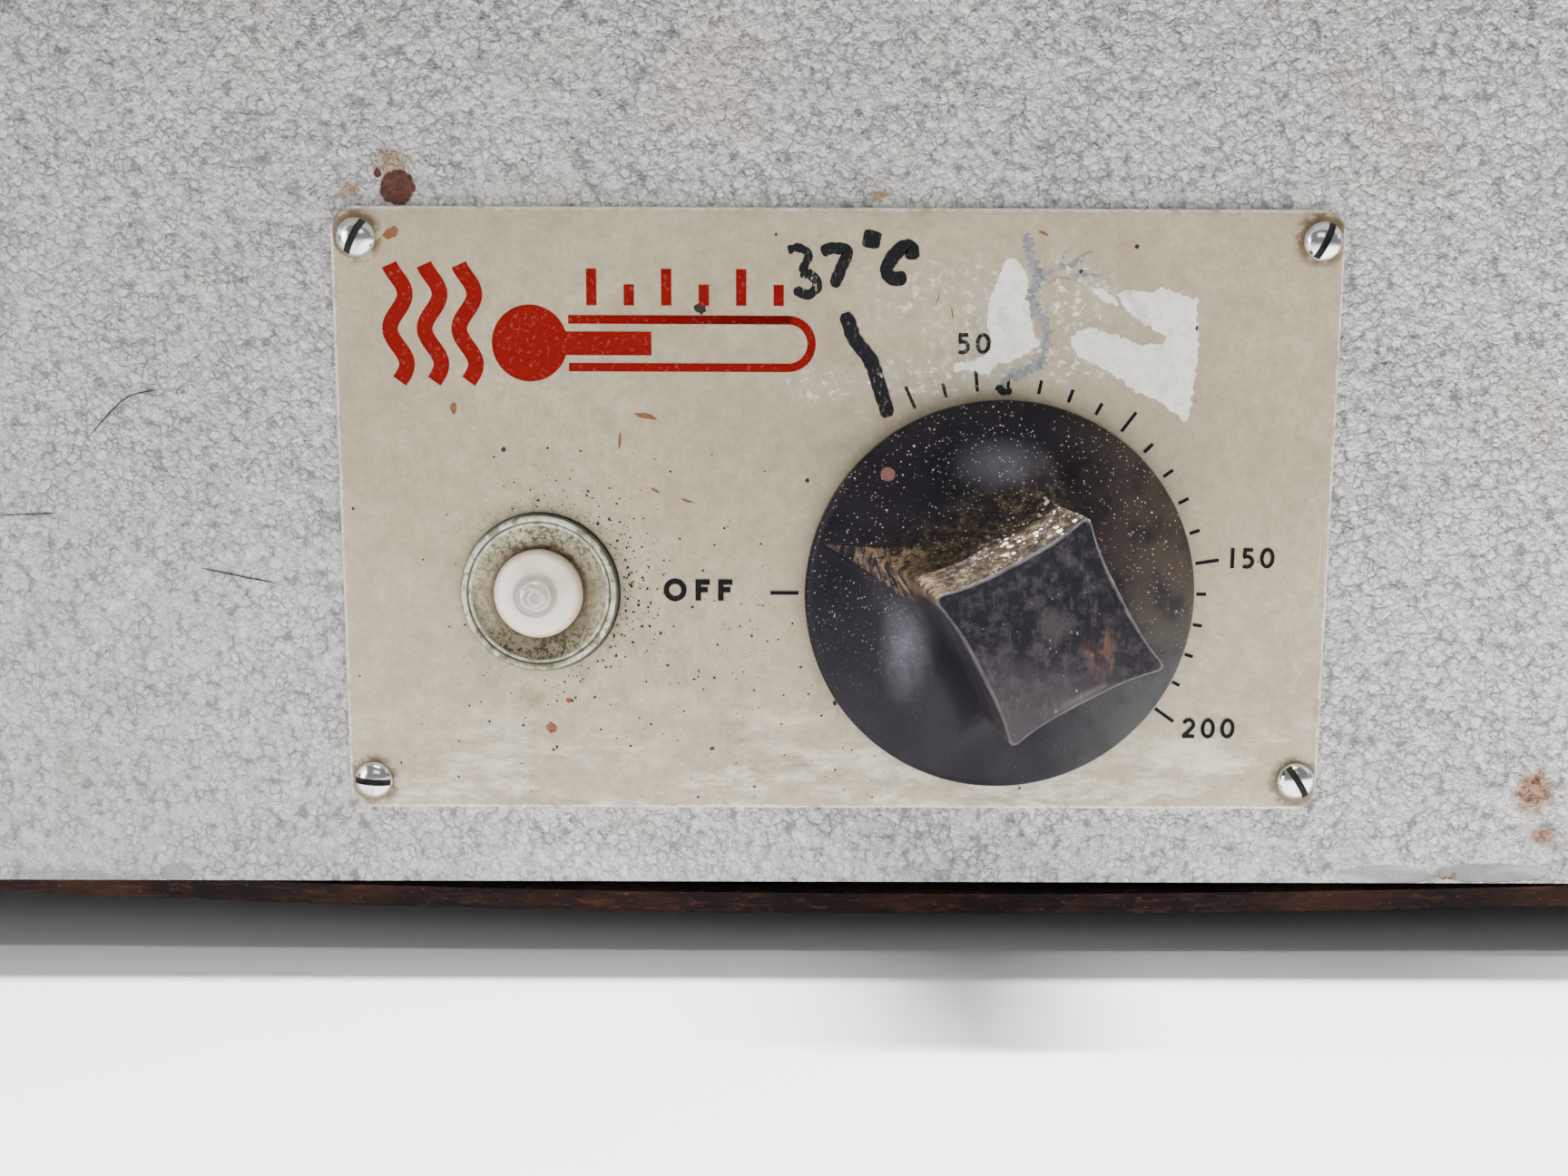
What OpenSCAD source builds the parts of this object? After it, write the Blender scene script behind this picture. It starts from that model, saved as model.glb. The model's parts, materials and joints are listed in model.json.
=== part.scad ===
// Bench-top laboratory hot-box oven: insulated steel cabinet, heated chamber with two
// shelves, side-hinged door with a lever latch, and a plinth that carries the control panel.
// Body coordinates: x = 0 on the middle, y = 0 on the front sheet's outer face, z = 0 on
// the casing's lower edge. placed() moves them to the frame, whose origin is the middle of
// the bounding box on the bench.

/* [Chamber] */
// Clear width of the heated chamber
chamber_w = 305; // [250:1:420]
// Depth of the heated chamber, from the front sheet
chamber_d = 305; // [250:1:420]
// Clear height of the chamber above its floor plate
chamber_h = 305; // [290:1:420]
// Thickness of the chamber's sheet
liner_t = 1; // [0.8:0.1:1.5]
// Height of the heater space under the floor plate
heater_space = 25; // [21:1:40]
// Height of the lowest shelf rail above the floor plate
rail_first = 60; // [40:1:75]
// Height from one shelf rail to the next
rail_pitch = 60; // [45:1:72]
// Width of a shelf rail
rail_w = 12; // [8:0.5:15]

/* [Walls] */
// Thickness of the side walls, chamber to casing
side_wall = 57.5; // [48:0.5:80]
// Thickness of the top wall
top_wall = 50; // [40:1:80]
// Thickness of the back wall
back_wall = 65; // [52:1:90]
// Thickness of the insulation under the chamber
floor_wall = 30; // [20:1:60]
// Thickness of the steel sheet
sheet = 1.2; // [0.8:0.1:1.6]
// Width of the folded flanges
fold = 24; // [22:0.5:29]
// Radius of the casing's upper corners
corner_r = 12; // [8:1:16]

/* [Plinth] */
// Height of the wiring compartment
plinth_h = 115; // [110:1:160]
// Thickness of the hardboard base
board_t = 3.2; // [2.5:0.1:5]
// How far the hardboard base hangs down in the middle
board_bow = 3.6; // [0:0.1:5]
// How far the casing's sheets hang below the base board's seat
board_up = 1.2; // [0:0.1:2.5]
// Height of the rubber feet under the base board
foot_h = 11; // [9:0.5:25]
// Radius of the rubber feet
foot_r = 11.5; // [8:0.5:13]

/* [Door] */
// Thickness of the door
door_t = 42; // [34:1:55]
// How far the door covers the front round the mouth
door_overlap = 30; // [28:1:36]
// Gap between the closed door and the front sheet
door_gap = 4; // [3:0.5:5]
// Corner radius of the door
door_r = 14; // [8:1:20]
// Width of the door seal
seal_w = 12; // [8:1:14]

/* [Hinges and latch] */
// Height of each hinge
hinge_h = 60; // [48:1:80]
// Distance from the door's end to the middle of a hinge
hinge_in = 60; // [45:1:90]
// Radius of the hinge pins
pin_r = 2.5; // [2:0.1:3]
// Length of the lever below its hub's middle
lever_l = 104; // [80:1:130]
// Radius of the lever's bar
lever_r = 8; // [6:0.5:9]
// Clear space between the lever's bar and the door
finger_space = 26; // [24:1:34]
// Reach of the latch tongue from the lever's axis, up when released
tongue_l = 38; // [35:0.5:39.5]

/* [Control panel] */
// Width of the control panel
panel_w = 146; // [140:1:180]
// Height of the control panel
panel_h = 88.5; // [80:0.5:92]
// Thickness of the control panel
panel_t = 1.5; // [1:0.1:2.5]
// Height of the panel's lower edge above the casing's lower edge
panel_lift = 12; // [10:0.5:16]
// Radius of the knob's skirt
skirt_r = 28.35; // [22:0.05:32]
// Distance from the panel to the front of the knob
knob_out = 38.5; // [30:0.5:44]
// Half the diagonal of the knob's square grip at its front
grip_r = 15.1; // [12:0.1:18]
// Radius of the signal lamp's bezel
bezel_r = 11.65; // [9:0.05:14]
// Radius of the signal lamp's lens
lens_r = 6.5; // [4.5:0.1:7.5]

/* [Services] */
// Radius of the vent port's bore
port_r = 11; // [8:0.5:13]
// Radius of the cable gland's bore
gland_bore_r = 4; // [3:0.1:5]
// How far the cable gland stands out of the back
gland_out = 20; // [14:1:30]

/* [Hidden] */
$fn = 48;
fit = 0.15;         // seat of a piece that slides or is set down
running = 0.06;     // radial clearance of a pin or spindle that turns
weld = 0.02;        // gap at a spot-welded seam
screw_r = 1.9;
screw_hole_r = 2;
head_r = 3.2;
head_h = 1.9;

floor_z = plinth_h + floor_wall;
mouth_z = floor_z + liner_t + heater_space;
body_w = chamber_w + 2 * side_wall;
body_h = mouth_z + chamber_h + top_wall;
body_d = chamber_d + back_wall;
liner_x = chamber_w / 2 + liner_t;
liner_top = mouth_z + chamber_h + liner_t;
liner_back = chamber_d + liner_t;
back_gap = 20;
slab_back = body_d - back_gap;
inner_x = body_w / 2 - 2 * sheet;

board_inset = sheet + 0.1;
bow_x = 15;
bow_half = 150;
base_screw_in = 12;
foot_x = body_w / 2 - fold / 2 - 1;
foot_in = 40;
foot_screw_r = 2.4;

door_w = chamber_w + 2 * door_overlap;
door_h = chamber_h + 2 * door_overlap;
door_z = mouth_z + chamber_h / 2;
door_front = -door_gap - door_t;
door_back = -door_gap;
door_flange = 16;
plug_in = 12;
plug_out = 3;
seal_in = 5;
seal_free = 0.3;

hinge_x = -door_w / 2 - 8;
hinge_y = -door_gap - 10;
knuckle_r = pin_r + 2.5;
knuckle_gap = 0.5;
leaf_t = 2;
hinge_z = [door_z - door_h / 2 + hinge_in, door_z + door_h / 2 - hinge_in];

lever_x = door_w / 2 - 22;
spindle_r = 5;
base_r = 22;
base_t = 8;
tongue_t = 6;
tongue_w = 16;
turn_gap = 0.3;
hub_r = 13;
dome_r = 11;
lever_out = finger_space + lever_r + dome_r;
lever_core_r = 4;
grip_top = 22;
tongue_out = base_t + turn_gap;
hub_out = tongue_out + tongue_t;
keeper_t = 3.5;
keeper_h = 32;
keeper_foot_h = 60;
keeper_x = body_w / 2 - 4;

panel_z = panel_lift + panel_h / 2;
panel_r = 3;
panel_screw_x = panel_w / 2 - 3.5;
panel_screw_z = panel_h / 2 - 4.2;
dial_z = panel_z - 11.4;
knob_x = 23.7;
lamp_x = -43.7;
skirt_gap = 1;
skirt_edge = 3;
skirt_rise = 5;
grip_base = 1.14;
grip_pinch = 1.1;
knob_bore_l = 24;
shaft_r = 3;
bush_r = 5;
stat_w = 48;
stat_d = 36;
stat_h = 44;
stat_y = sheet + 6;
barrel_r = lens_r - 0.6;
barrel_l = 30;

shelf_t = 1.5;
shelf_in = 25;
shelf_back = 5;
shelf_side = 1.5;
shelf_lip = 8;
shelf_hole_r = 5;
shelf_hole_pitch = 22;
floor_t = 1.5;
floor_hole_r = 4;
floor_hole_pitch = 30;

heater_r = 4;
heater_bend = 30;
heater_end = 60;
heater_z = floor_z + liner_t + 10;
heater_tail = body_d - 17;
ceramic_r = 6;

vent_y = chamber_d / 2;
port_wall = 2;
vent_flange_r = 32;
vent_flange_t = 2.5;
vent_screw_ring = 24;
shutter_t = 1.6;
shutter_r = port_r + 4;
pivot_r = 2;

gland_x = 150;
gland_z = 45;
gland_r = gland_bore_r + 4;
block_x = 60;
block_y = 250;
block_size = [60, 25, 18];
deck_under = plinth_h - sheet;
bulb_r = 3.5;
bulb_l = 90;
bulb_y = chamber_d - 12;
bulb_z = mouth_z + chamber_h - 25;
entry_x = 75;
capillary_r = 1.2;
wire_r = 1.3;

front_out = -door_front + lever_out;
front_y = (front_out - body_d - gland_out) / 2;
board_under = board_up - board_t;
seam_z = body_h - max(fold, corner_r) - 1;
base_z = foot_h - board_under;

// ---------- outlines and small shapes ----------

// Points of an arc, from angle a to angle b
function arc(x, y, r, a, b, steps = 6) =
    [for (i = [0:steps]) let (t = a + (b - a) * i / steps) [x + r * cos(t), y + r * sin(t)]];

// Rounded rectangle about the origin
function round_rect(w, h, r) =
    concat(arc(w / 2 - r, h / 2 - r, r, 0, 90), arc(r - w / 2, h / 2 - r, r, 90, 180),
        arc(r - w / 2, r - h / 2, r, 180, 270), arc(w / 2 - r, r - h / 2, r, 270, 360));

// The casing's outline seen from the front, square below and rounded above
function body_outline(inset, bottom = 0) =
    let (x = body_w / 2 - inset, top = body_h - inset, r = corner_r - inset)
    concat([[-x, bottom], [x, bottom]], arc(x - r, top - r, r, 0, 90),
        arc(r - x, top - r, r, 90, 180));

// Body coordinates to the frame
module placed() {
    translate([0, front_y, base_z]) children();
}

// An outline drawn in x and z, from y to y + depth
module slab(points, y, depth) {
    translate([0, y + depth, 0]) rotate([90, 0, 0]) linear_extrude(depth) polygon(points);
}

// A box between two corners
module box(low, high) {
    translate(low) cube(high - low);
}

// A round bar along +y, from y to y + length
module bar_y(x, y, z, length, r) {
    translate([x, y, z]) rotate([-90, 0, 0]) cylinder(r = r, h = length);
}

// A cheese-head screw along +y, with its head in front of y and a slot across the head
module screw_y(x, y, z, length, turn = 0) {
    translate([x, y, z]) rotate([0, turn, 0]) rotate([-90, 0, 0]) {
        difference() {
            union() {
                translate([0, 0, -head_h]) cylinder(r = head_r, h = head_h);
                cylinder(r = screw_r, h = length);
            }
            translate([-head_r, -0.5, -head_h - 1]) cube([2 * head_r, 1, 2]);
        }
    }
}

// A countersunk screw down along -z, its flat head flush with z
module sunk_screw_z(x, y, z, length) {
    translate([x, y, z - 2]) cylinder(r1 = screw_r, r2 = screw_r + 2, h = 2);
    translate([x, y, z - length]) cylinder(r = screw_r, h = length - 2);
}

// ---------- paths ----------

function unit(v) = v / norm(v);
function tangent(p, i) = unit(p[min(i + 1, len(p) - 1)] - p[max(i - 1, 0)]);
// Normals carried along a path without twisting
function normals(p, i, n) =
    i == len(p) ? [] :
    let (t = tangent(p, i), m = unit(n - (n * t) * t)) concat([m], normals(p, i + 1, m));
// A smooth curve through the points of p
function smooth(p, steps) =
    concat([for (i = [0:len(p) - 2], j = [0:steps - 1])
        let (a = p[max(i - 1, 0)], b = p[i], c = p[i + 1], d = p[min(i + 2, len(p) - 1)],
            t = j / steps)
        0.5 * (2 * b + (c - a) * t + (2 * a - 5 * b + 4 * c - d) * t * t
            + (3 * b - a - 3 * c + d) * t * t * t)], [p[len(p) - 1]]);

// A round tube of 8 sides swept along a smooth curve through the points
module swept(points, r, steps = 5) {
    p = smooth(points, steps);
    n = normals(p, 0, [0.3, 0.1, 1]);
    sides = 8;
    rings = len(p);
    verts = [for (i = [0:rings - 1], k = [0:sides - 1])
        let (t = tangent(p, i), u = n[i], v = cross(t, u), a = 360 * k / sides)
        p[i] + r * (cos(a) * u + sin(a) * v)];
    quads = [for (i = [0:rings - 2], k = [0:sides - 1])
        let (m = (k + 1) % sides)
        [i * sides + m, i * sides + k, (i + 1) * sides + k, (i + 1) * sides + m]];
    polyhedron(verts, concat(quads, [[for (k = [0:sides - 1]) k]],
        [[for (k = [sides - 1:-1:0]) (rings - 1) * sides + k]]), convexity = 6);
}

// ---------- places that several pieces share ----------

panel_screws_at = [for (x = [-1, 1], z = [-1, 1])
    [x * panel_screw_x, panel_z + z * panel_screw_z]];
hinge_frame_screws_at = [for (z = hinge_z, s = [-1, 1])
    [-body_w / 2 + 9, z + s * hinge_h / 12]];
hinge_door_screws_at = [for (z = hinge_z, s = [-1, 1])
    [door_back - 24, z + s * hinge_h / 3]];
keeper_screws_at = [for (s = [-1, 1]) [keeper_x - 10, door_z + s * (keeper_foot_h / 2 - 6)]];
base_screws_at = [for (x = [-1, 1], y = [base_screw_in, body_d - base_screw_in])
    [bow_x + x * (bow_half + 9), y]];
feet_at = [for (x = [-1, 1], y = [foot_in, body_d - foot_in]) [x * foot_x, y]];
back_edge = 12;
back_screws_at = concat(
    [for (x = [-1, 1], z = [0.08, 0.5, 0.92])
        [x * (body_w / 2 - back_edge), body_h * z]],
    [for (x = [-1, 1]) [x * body_w / 5, body_h - back_edge]]);
door_liner_screws_at = let (x = door_w / 2 - 8, z = door_h / 2 - 8)
    concat([for (s = [-1, 1], k = [-0.75, 0, 0.75]) [s * x, door_z + k * z]],
        [for (s = [-1, 1], k = [-0.5, 0.5]) [k * x, door_z + s * z]]);
vent_screws_at = [for (a = [120, 240])
    [vent_screw_ring * cos(a), vent_y + vent_screw_ring * sin(a)]];
heater_tails = [-3, 3];

// Holes along y through a sheet at y, at each [x, z] of a list
module holes_y(places, y, depth, r) {
    for (p = places) bar_y(p[0], y - 1, p[1], depth + 2, r);
}

// ---------- casing ----------

module mouth(y, depth) {
    translate([0, 0, door_z]) slab(round_rect(chamber_w, chamber_h, 6), y, depth);
}

// The casing's sheet with its flanges, between two heights
module case_sheet(z0, z1) {
    color("silver") placed() difference() {
        intersection() {
            case_wrap();
            box([-body_w, -1, z0], [body_w, body_d + 1, z1]);
        }
        holes_y(back_screws_at, body_d - 2 * sheet, sheet, screw_hole_r);
        for (p = feet_at) translate([p[0], p[1], board_up - 1])
            cylinder(r = foot_screw_r + 0.1, h = sheet + 2);
        translate([0, vent_y, body_h - sheet - 1])
            cylinder(r = port_r + port_wall + 0.1, h = sheet + 2);
        for (p = concat(vent_screws_at, [[vent_screw_ring, vent_y]]))
            translate([p[0], p[1], body_h - sheet - 1])
                cylinder(r = screw_hole_r + 0.1, h = sheet + 2);
    }
}
module case_sides() { case_sheet(-1, seam_z - weld); }
module case_top() { case_sheet(seam_z, body_h + 1); }

module case_wrap() {
    difference() {
        slab(body_outline(0), 0, body_d);
        slab(body_outline(sheet, -1), -1, body_d + 2);
    }
    difference() {
        slab(body_outline(sheet, board_up), body_d - 2 * sheet, sheet);
        box([fold - body_w / 2, body_d - 3 * sheet, -1],
            [body_w / 2 - fold, body_d, body_h - fold]);
    }
    for (s = [-1, 1])
        mirror([s < 0 ? 1 : 0, 0, 0])
            box([body_w / 2 - fold, fold + 1, board_up],
                [body_w / 2 - sheet / 2, body_d - 1.5 * sheet, board_up + sheet]);
}

module front_frame() {
    color("silver") placed() difference() {
        union() {
            slab(body_outline(sheet), 0, sheet);
            difference() {
                slab(body_outline(sheet, board_up), 0, fold);
                slab(body_outline(2 * sheet, board_up + sheet), -1, fold + 2);
            }
        }
        mouth(-1, sheet + 2);
        holes_y(panel_screws_at, 0, sheet, screw_hole_r);
        holes_y(hinge_frame_screws_at, 0, sheet, screw_hole_r);
        holes_y(keeper_screws_at, 0, sheet, screw_hole_r);
        holes_y([[knob_x, dial_z]], 0, sheet, bush_r + 0.1);
        holes_y([[lamp_x, dial_z]], 0, sheet, barrel_r + 0.1);
        for (p = base_screws_at) translate([p[0], p[1], board_up - 1])
            cylinder(r = screw_hole_r, h = sheet + 2);
    }
}

module back_cover() {
    slot_w = 40;
    slot_h = 4;
    color("silver") placed() difference() {
        union() {
            slab(body_outline(sheet), body_d - sheet, sheet);
            box([fold + 2 - body_w / 2, body_d - fold, board_up],
                [body_w / 2 - fold - 2, body_d - sheet / 2, board_up + sheet]);
        }
        holes_y(back_screws_at, body_d - sheet, sheet, screw_hole_r);
        holes_y([[gland_x, gland_z]], body_d - sheet, sheet, gland_r - 1.9);
        for (x = [-2:1], z = [0:3])
            box([x * (slot_w + 12) + 6, body_d - sheet - 1, 40 + z * 14],
                [x * (slot_w + 12) + 6 + slot_w, body_d + 1, 40 + z * 14 + slot_h]);
        for (p = base_screws_at) translate([p[0], p[1], board_up - 1])
            cylinder(r = screw_hole_r, h = sheet + 2);
    }
}

module back_cover_screws() {
    color("gainsboro") placed() for (p = back_screws_at)
        translate([p[0], body_d, p[1]]) rotate([0, 0, 180]) screw_y(0, 0, 0, 6, 30);
}

module deck_plate() {
    color("darkgray") placed() difference() {
        union() {
            box([-inner_x, sheet, deck_under], [inner_x, slab_back, plinth_h]);
            box([-inner_x, sheet, deck_under - 10], [inner_x, 2 * sheet, plinth_h]);
        }
        for (s = [-1, 1]) mirror([s < 0 ? 1 : 0, 0, 0])
            box([inner_x - 6, 0, deck_under - 11], [inner_x + 1, 3 * sheet, deck_under - 0.1]);
    }
}

// ---------- base ----------

function sag(x) = board_bow * max(0, 1 - pow((x - bow_x) / bow_half, 2));

module base_board() {
    steps = 28;
    x0 = body_w / 2 - board_inset;
    xs = [for (i = [0:steps]) -x0 + 2 * x0 * i / steps];
    top = [for (i = [0:steps]) [xs[i], -sag(xs[i])]];
    under = [for (i = [steps:-1:0]) [xs[i], -sag(xs[i]) - board_t]];
    color("saddlebrown") placed() difference() {
        translate([0, 0, board_up])
            slab(concat(under, top), board_inset, body_d - 2 * board_inset);
        for (p = base_screws_at) translate([p[0], p[1], board_under - board_bow - 1])
            cylinder(r = screw_hole_r, h = board_t + board_bow + 2);
        for (p = feet_at) translate([p[0], p[1], board_under - 1])
            cylinder(r = foot_screw_r + 0.1, h = board_t + 2);
    }
}

module base_screws() {
    color("gainsboro") placed() for (p = base_screws_at)
        translate([p[0], p[1], board_under - fit]) rotate([90, 0, 0])
            screw_y(0, 0, 0, 8, 40);
}

module feet() {
    color([0.09, 0.09, 0.09]) placed() for (p = feet_at)
        translate([p[0], p[1], board_under - foot_h]) difference() {
            cylinder(r1 = foot_r - 1.5, r2 = foot_r, h = foot_h);
            translate([0, 0, -1]) cylinder(r = 5.2, h = 5);
            cylinder(r = foot_screw_r + 0.1, h = foot_h + 1);
        }
}

module foot_screws() {
    shank = foot_h - 4 + board_t + sheet + 5;
    color("gainsboro") placed() for (p = feet_at)
        translate([p[0], p[1], board_under - foot_h + 4]) {
            translate([0, 0, -2.2]) cylinder(r = 4.6, h = 2.2);
            cylinder(r = foot_screw_r, h = shank);
            translate([0, 0, foot_h - 4 + board_t + sheet])
                cylinder(r = 4.6, h = 3.5, $fn = 6);
        }
}

// ---------- chamber ----------

module chamber_liner() {
    rim = 10;
    color("lightsteelblue") placed() difference() {
        union() {
            box([-liner_x, sheet, floor_z], [liner_x, liner_back, liner_top]);
            box([-liner_x - rim, sheet, floor_z - rim], [liner_x + rim, sheet + liner_t,
                liner_top + rim]);
        }
        box([-chamber_w / 2, 0, floor_z + liner_t], [chamber_w / 2, chamber_d,
            mouth_z + chamber_h]);
        box([-liner_x - 1, sheet + liner_t, liner_top - liner_t - weld],
            [liner_x + 1, liner_back + 1, liner_top + 1]);
        holes_y([for (s = heater_tails) [s * heater_bend, heater_z]], chamber_d, liner_t,
            ceramic_r + 0.1);
        holes_y([[entry_x, bulb_z]], chamber_d, liner_t, 3);
    }
}

module chamber_top() {
    color("lightsteelblue") placed() difference() {
        box([-liner_x, sheet + liner_t + weld, liner_top - liner_t],
            [liner_x, liner_back, liner_top]);
        translate([0, vent_y, liner_top - liner_t - 1])
            cylinder(r = port_r + port_wall + 0.1, h = liner_t + 2);
    }
}

module shelf_rails() {
    color("gainsboro") placed() for (side = [0, 1], i = [0:3]) mirror([side, 0, 0]) {
        z = mouth_z + rail_first + i * rail_pitch;
        box([chamber_w / 2 - rail_w, 12, z - 1.2], [chamber_w / 2, chamber_d - 6, z]);
        box([chamber_w / 2 - 1.2, 12, z - rail_w], [chamber_w / 2, chamber_d - 6, z - 0.6]);
    }
}

// Holes in a grid about the middle of a plate
module hole_grid(nx, ny, pitch, y_mid, z, depth, r) {
    for (i = [0:nx - 1], j = [0:ny - 1])
        translate([(i - (nx - 1) / 2) * pitch, y_mid + (j - (ny - 1) / 2) * pitch, z - 1])
            cylinder(r = r, h = depth + 2);
}

module floor_plate() {
    x = chamber_w / 2 - 1;
    y0 = 6;
    y1 = chamber_d - 4;
    color("gainsboro") placed() difference() {
        union() {
            box([-x, y0, mouth_z - floor_t], [x, y1, mouth_z]);
            for (s = [-1, 1]) mirror([s < 0 ? 1 : 0, 0, 0])
                box([x - floor_t, y0, floor_z + liner_t], [x, y1, mouth_z - floor_t - weld]);
        }
        hole_grid(floor((chamber_w - 30) / floor_hole_pitch),
            floor((chamber_d - 30) / floor_hole_pitch),
            floor_hole_pitch, (y0 + y1) / 2, mouth_z - floor_t, floor_t, floor_hole_r);
    }
}

module shelf(rail) {
    z = mouth_z + rail_first + rail * rail_pitch + fit;
    x = chamber_w / 2 - shelf_side;
    y1 = chamber_d - shelf_back;
    lip_x = chamber_w / 2 - rail_w - 2.5;
    color("gainsboro") placed() difference() {
        union() {
            box([-x, shelf_in, z], [x, y1, z + shelf_t]);
            for (y = [shelf_in, y1 - shelf_t])
                box([-lip_x, y, z - shelf_lip], [lip_x, y + shelf_t, z - weld]);
        }
        hole_grid(floor((chamber_w - 34) / shelf_hole_pitch),
            floor((chamber_d - 54) / shelf_hole_pitch),
            shelf_hole_pitch, (shelf_in + y1) / 2, z, shelf_t, shelf_hole_r);
    }
}
module shelf_lower() { shelf(0); }
module shelf_upper() { shelf(2); }

module heater_element() {
    color("dimgray") placed() translate([0, 0, heater_z]) {
        for (s = [-1, 1]) {
            bar_y(s * 3 * heater_bend, heater_end, 0, heater_tail - heater_end, heater_r);
            bar_y(s * heater_bend, heater_end, 0, chamber_d - 2 * heater_end, heater_r);
            translate([s * 2 * heater_bend, heater_end, 0]) rotate([0, 0, 180])
                rotate_extrude(angle = 180) translate([heater_bend, 0]) circle(heater_r);
        }
        translate([0, chamber_d - heater_end, 0])
            rotate_extrude(angle = 180) translate([heater_bend, 0]) circle(heater_r);
    }
}

module heater_supports() {
    x = 3 * heater_bend + 15;
    color("gainsboro") placed() for (y = [heater_end + 30, chamber_d - heater_end - 30])
        box([-x, y, floor_z + liner_t], [x, y + 8, heater_z - heater_r]);
}

module heater_bushes() {
    y0 = chamber_d - 4;
    color("ivory") placed() for (s = heater_tails) difference() {
        union() {
            bar_y(s * heater_bend, y0, heater_z, slab_back + 3 - y0, ceramic_r);
            bar_y(s * heater_bend, y0, heater_z, 4, ceramic_r + 2);
        }
        bar_y(s * heater_bend, y0 - 1, heater_z, slab_back + 5 - y0, heater_r + 0.1);
    }
}

// ---------- insulation ----------

module insulation_sides() {
    color("khaki") placed() difference() {
        for (side = [0, 1]) mirror([side, 0, 0])
            box([liner_x, sheet + liner_t, plinth_h], [inner_x, slab_back, liner_top]);
        holes_y(concat(hinge_frame_screws_at, keeper_screws_at), sheet, 10, screw_r + 1);
    }
}

module insulation_top() {
    color("khaki") placed() difference() {
        box([corner_r - body_w / 2, sheet + liner_t, liner_top],
            [body_w / 2 - corner_r, slab_back, body_h - 2 * sheet]);
        translate([0, vent_y, liner_top - 1])
            cylinder(r = port_r + port_wall + 0.3, h = top_wall);
        for (p = concat(vent_screws_at, [[vent_screw_ring, vent_y]]))
            translate([p[0], p[1], body_h - 20]) cylinder(r = screw_r + 1, h = 20);
    }
}

module insulation_back() {
    color("khaki") placed() difference() {
        box([-liner_x, liner_back, plinth_h], [liner_x, slab_back, liner_top]);
        holes_y([for (s = heater_tails) [s * heater_bend, heater_z]], liner_back,
            slab_back - liner_back, ceramic_r + 0.1);
        holes_y([[entry_x, bulb_z]], liner_back, slab_back - liner_back, 3);
    }
}

module insulation_floor() {
    color("khaki") placed()
        box([-liner_x, sheet + liner_t, plinth_h], [liner_x, liner_back, floor_z]);
}

// ---------- door ----------

// The door's outline, taken in by inset
module door_slab(inset, y0, y1) {
    translate([0, 0, door_z]) slab(round_rect(door_w - 2 * inset, door_h - 2 * inset,
        max(2, door_r - inset)), y0, y1 - y0);
}

module door_skin() {
    seat = door_back - liner_t;
    color("silver") placed() difference() {
        door_slab(0, door_front, door_back);
        door_slab(sheet, door_front + sheet, seat - sheet);
        door_slab(door_flange, seat - sheet - 1, seat + 1);
        door_slab(sheet, seat, door_back + 1);
        holes_y(door_liner_screws_at, seat - sheet, sheet, screw_hole_r);
        holes_y([[lever_x, door_z]], door_front, sheet, spindle_r + running);
        holes_y([for (s = [-1, 1]) [lever_x, door_z + s * 15]], door_front, sheet,
            screw_hole_r);
        for (p = hinge_door_screws_at) translate([-door_w / 2 - 1, p[0], p[1]])
            rotate([0, 90, 0]) cylinder(r = screw_hole_r, h = sheet + 2);
    }
}

module plug_slab(inset, y0, y1) {
    translate([0, 0, door_z]) slab(round_rect(chamber_w - 2 * (plug_in + inset),
        chamber_h - 2 * (plug_in + inset), 10), y0, y1 - y0);
}

module door_liner() {
    color("lightsteelblue") placed() difference() {
        union() {
            door_slab(sheet + 0.2, door_back - liner_t, door_back);
            plug_slab(0, door_back - liner_t, door_back + plug_out);
        }
        plug_slab(liner_t, door_back - liner_t - 1, door_back + plug_out - liner_t);
        holes_y(door_liner_screws_at, door_back - liner_t, liner_t, screw_hole_r);
    }
}

module door_insulation() {
    color("khaki") placed() difference() {
        door_slab(sheet + 0.3, door_front + sheet, door_back - liner_t - sheet);
        bar_y(lever_x, door_front, door_z, 28, 13);
        holes_y(door_liner_screws_at, door_back - 12, 12, screw_r + 1);
        for (s = [-1, 1]) bar_y(lever_x, door_front, door_z + s * 15, 12, screw_r + 1);
        for (p = hinge_door_screws_at) translate([-door_w / 2, p[0], p[1]])
            rotate([0, 90, 0]) cylinder(r = screw_r + 1, h = 14);
    }
}

module door_liner_screws() {
    color("gainsboro") placed() for (p = door_liner_screws_at)
        translate([p[0], door_back, p[1]]) rotate([0, 0, 180]) screw_y(0, 0, 0, 6, 15);
}

module door_seal() {
    w = chamber_w + 2 * seal_in;
    h = chamber_h + 2 * seal_in;
    thick = door_gap - seal_free;
    color([0.75, 0.3, 0.2]) placed() translate([0, 0, door_z]) difference() {
        slab(round_rect(w + 2 * seal_w, h + 2 * seal_w, 16), -thick, thick);
        slab(round_rect(w, h, 6), -thick - 1, thick + 2);
    }
}

// ---------- hinges ----------

knuckle_h = hinge_h / 3 - knuckle_gap;

module knuckle(z) {
    translate([hinge_x, hinge_y, z - knuckle_h / 2]) cylinder(r = knuckle_r, h = knuckle_h);
}

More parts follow.
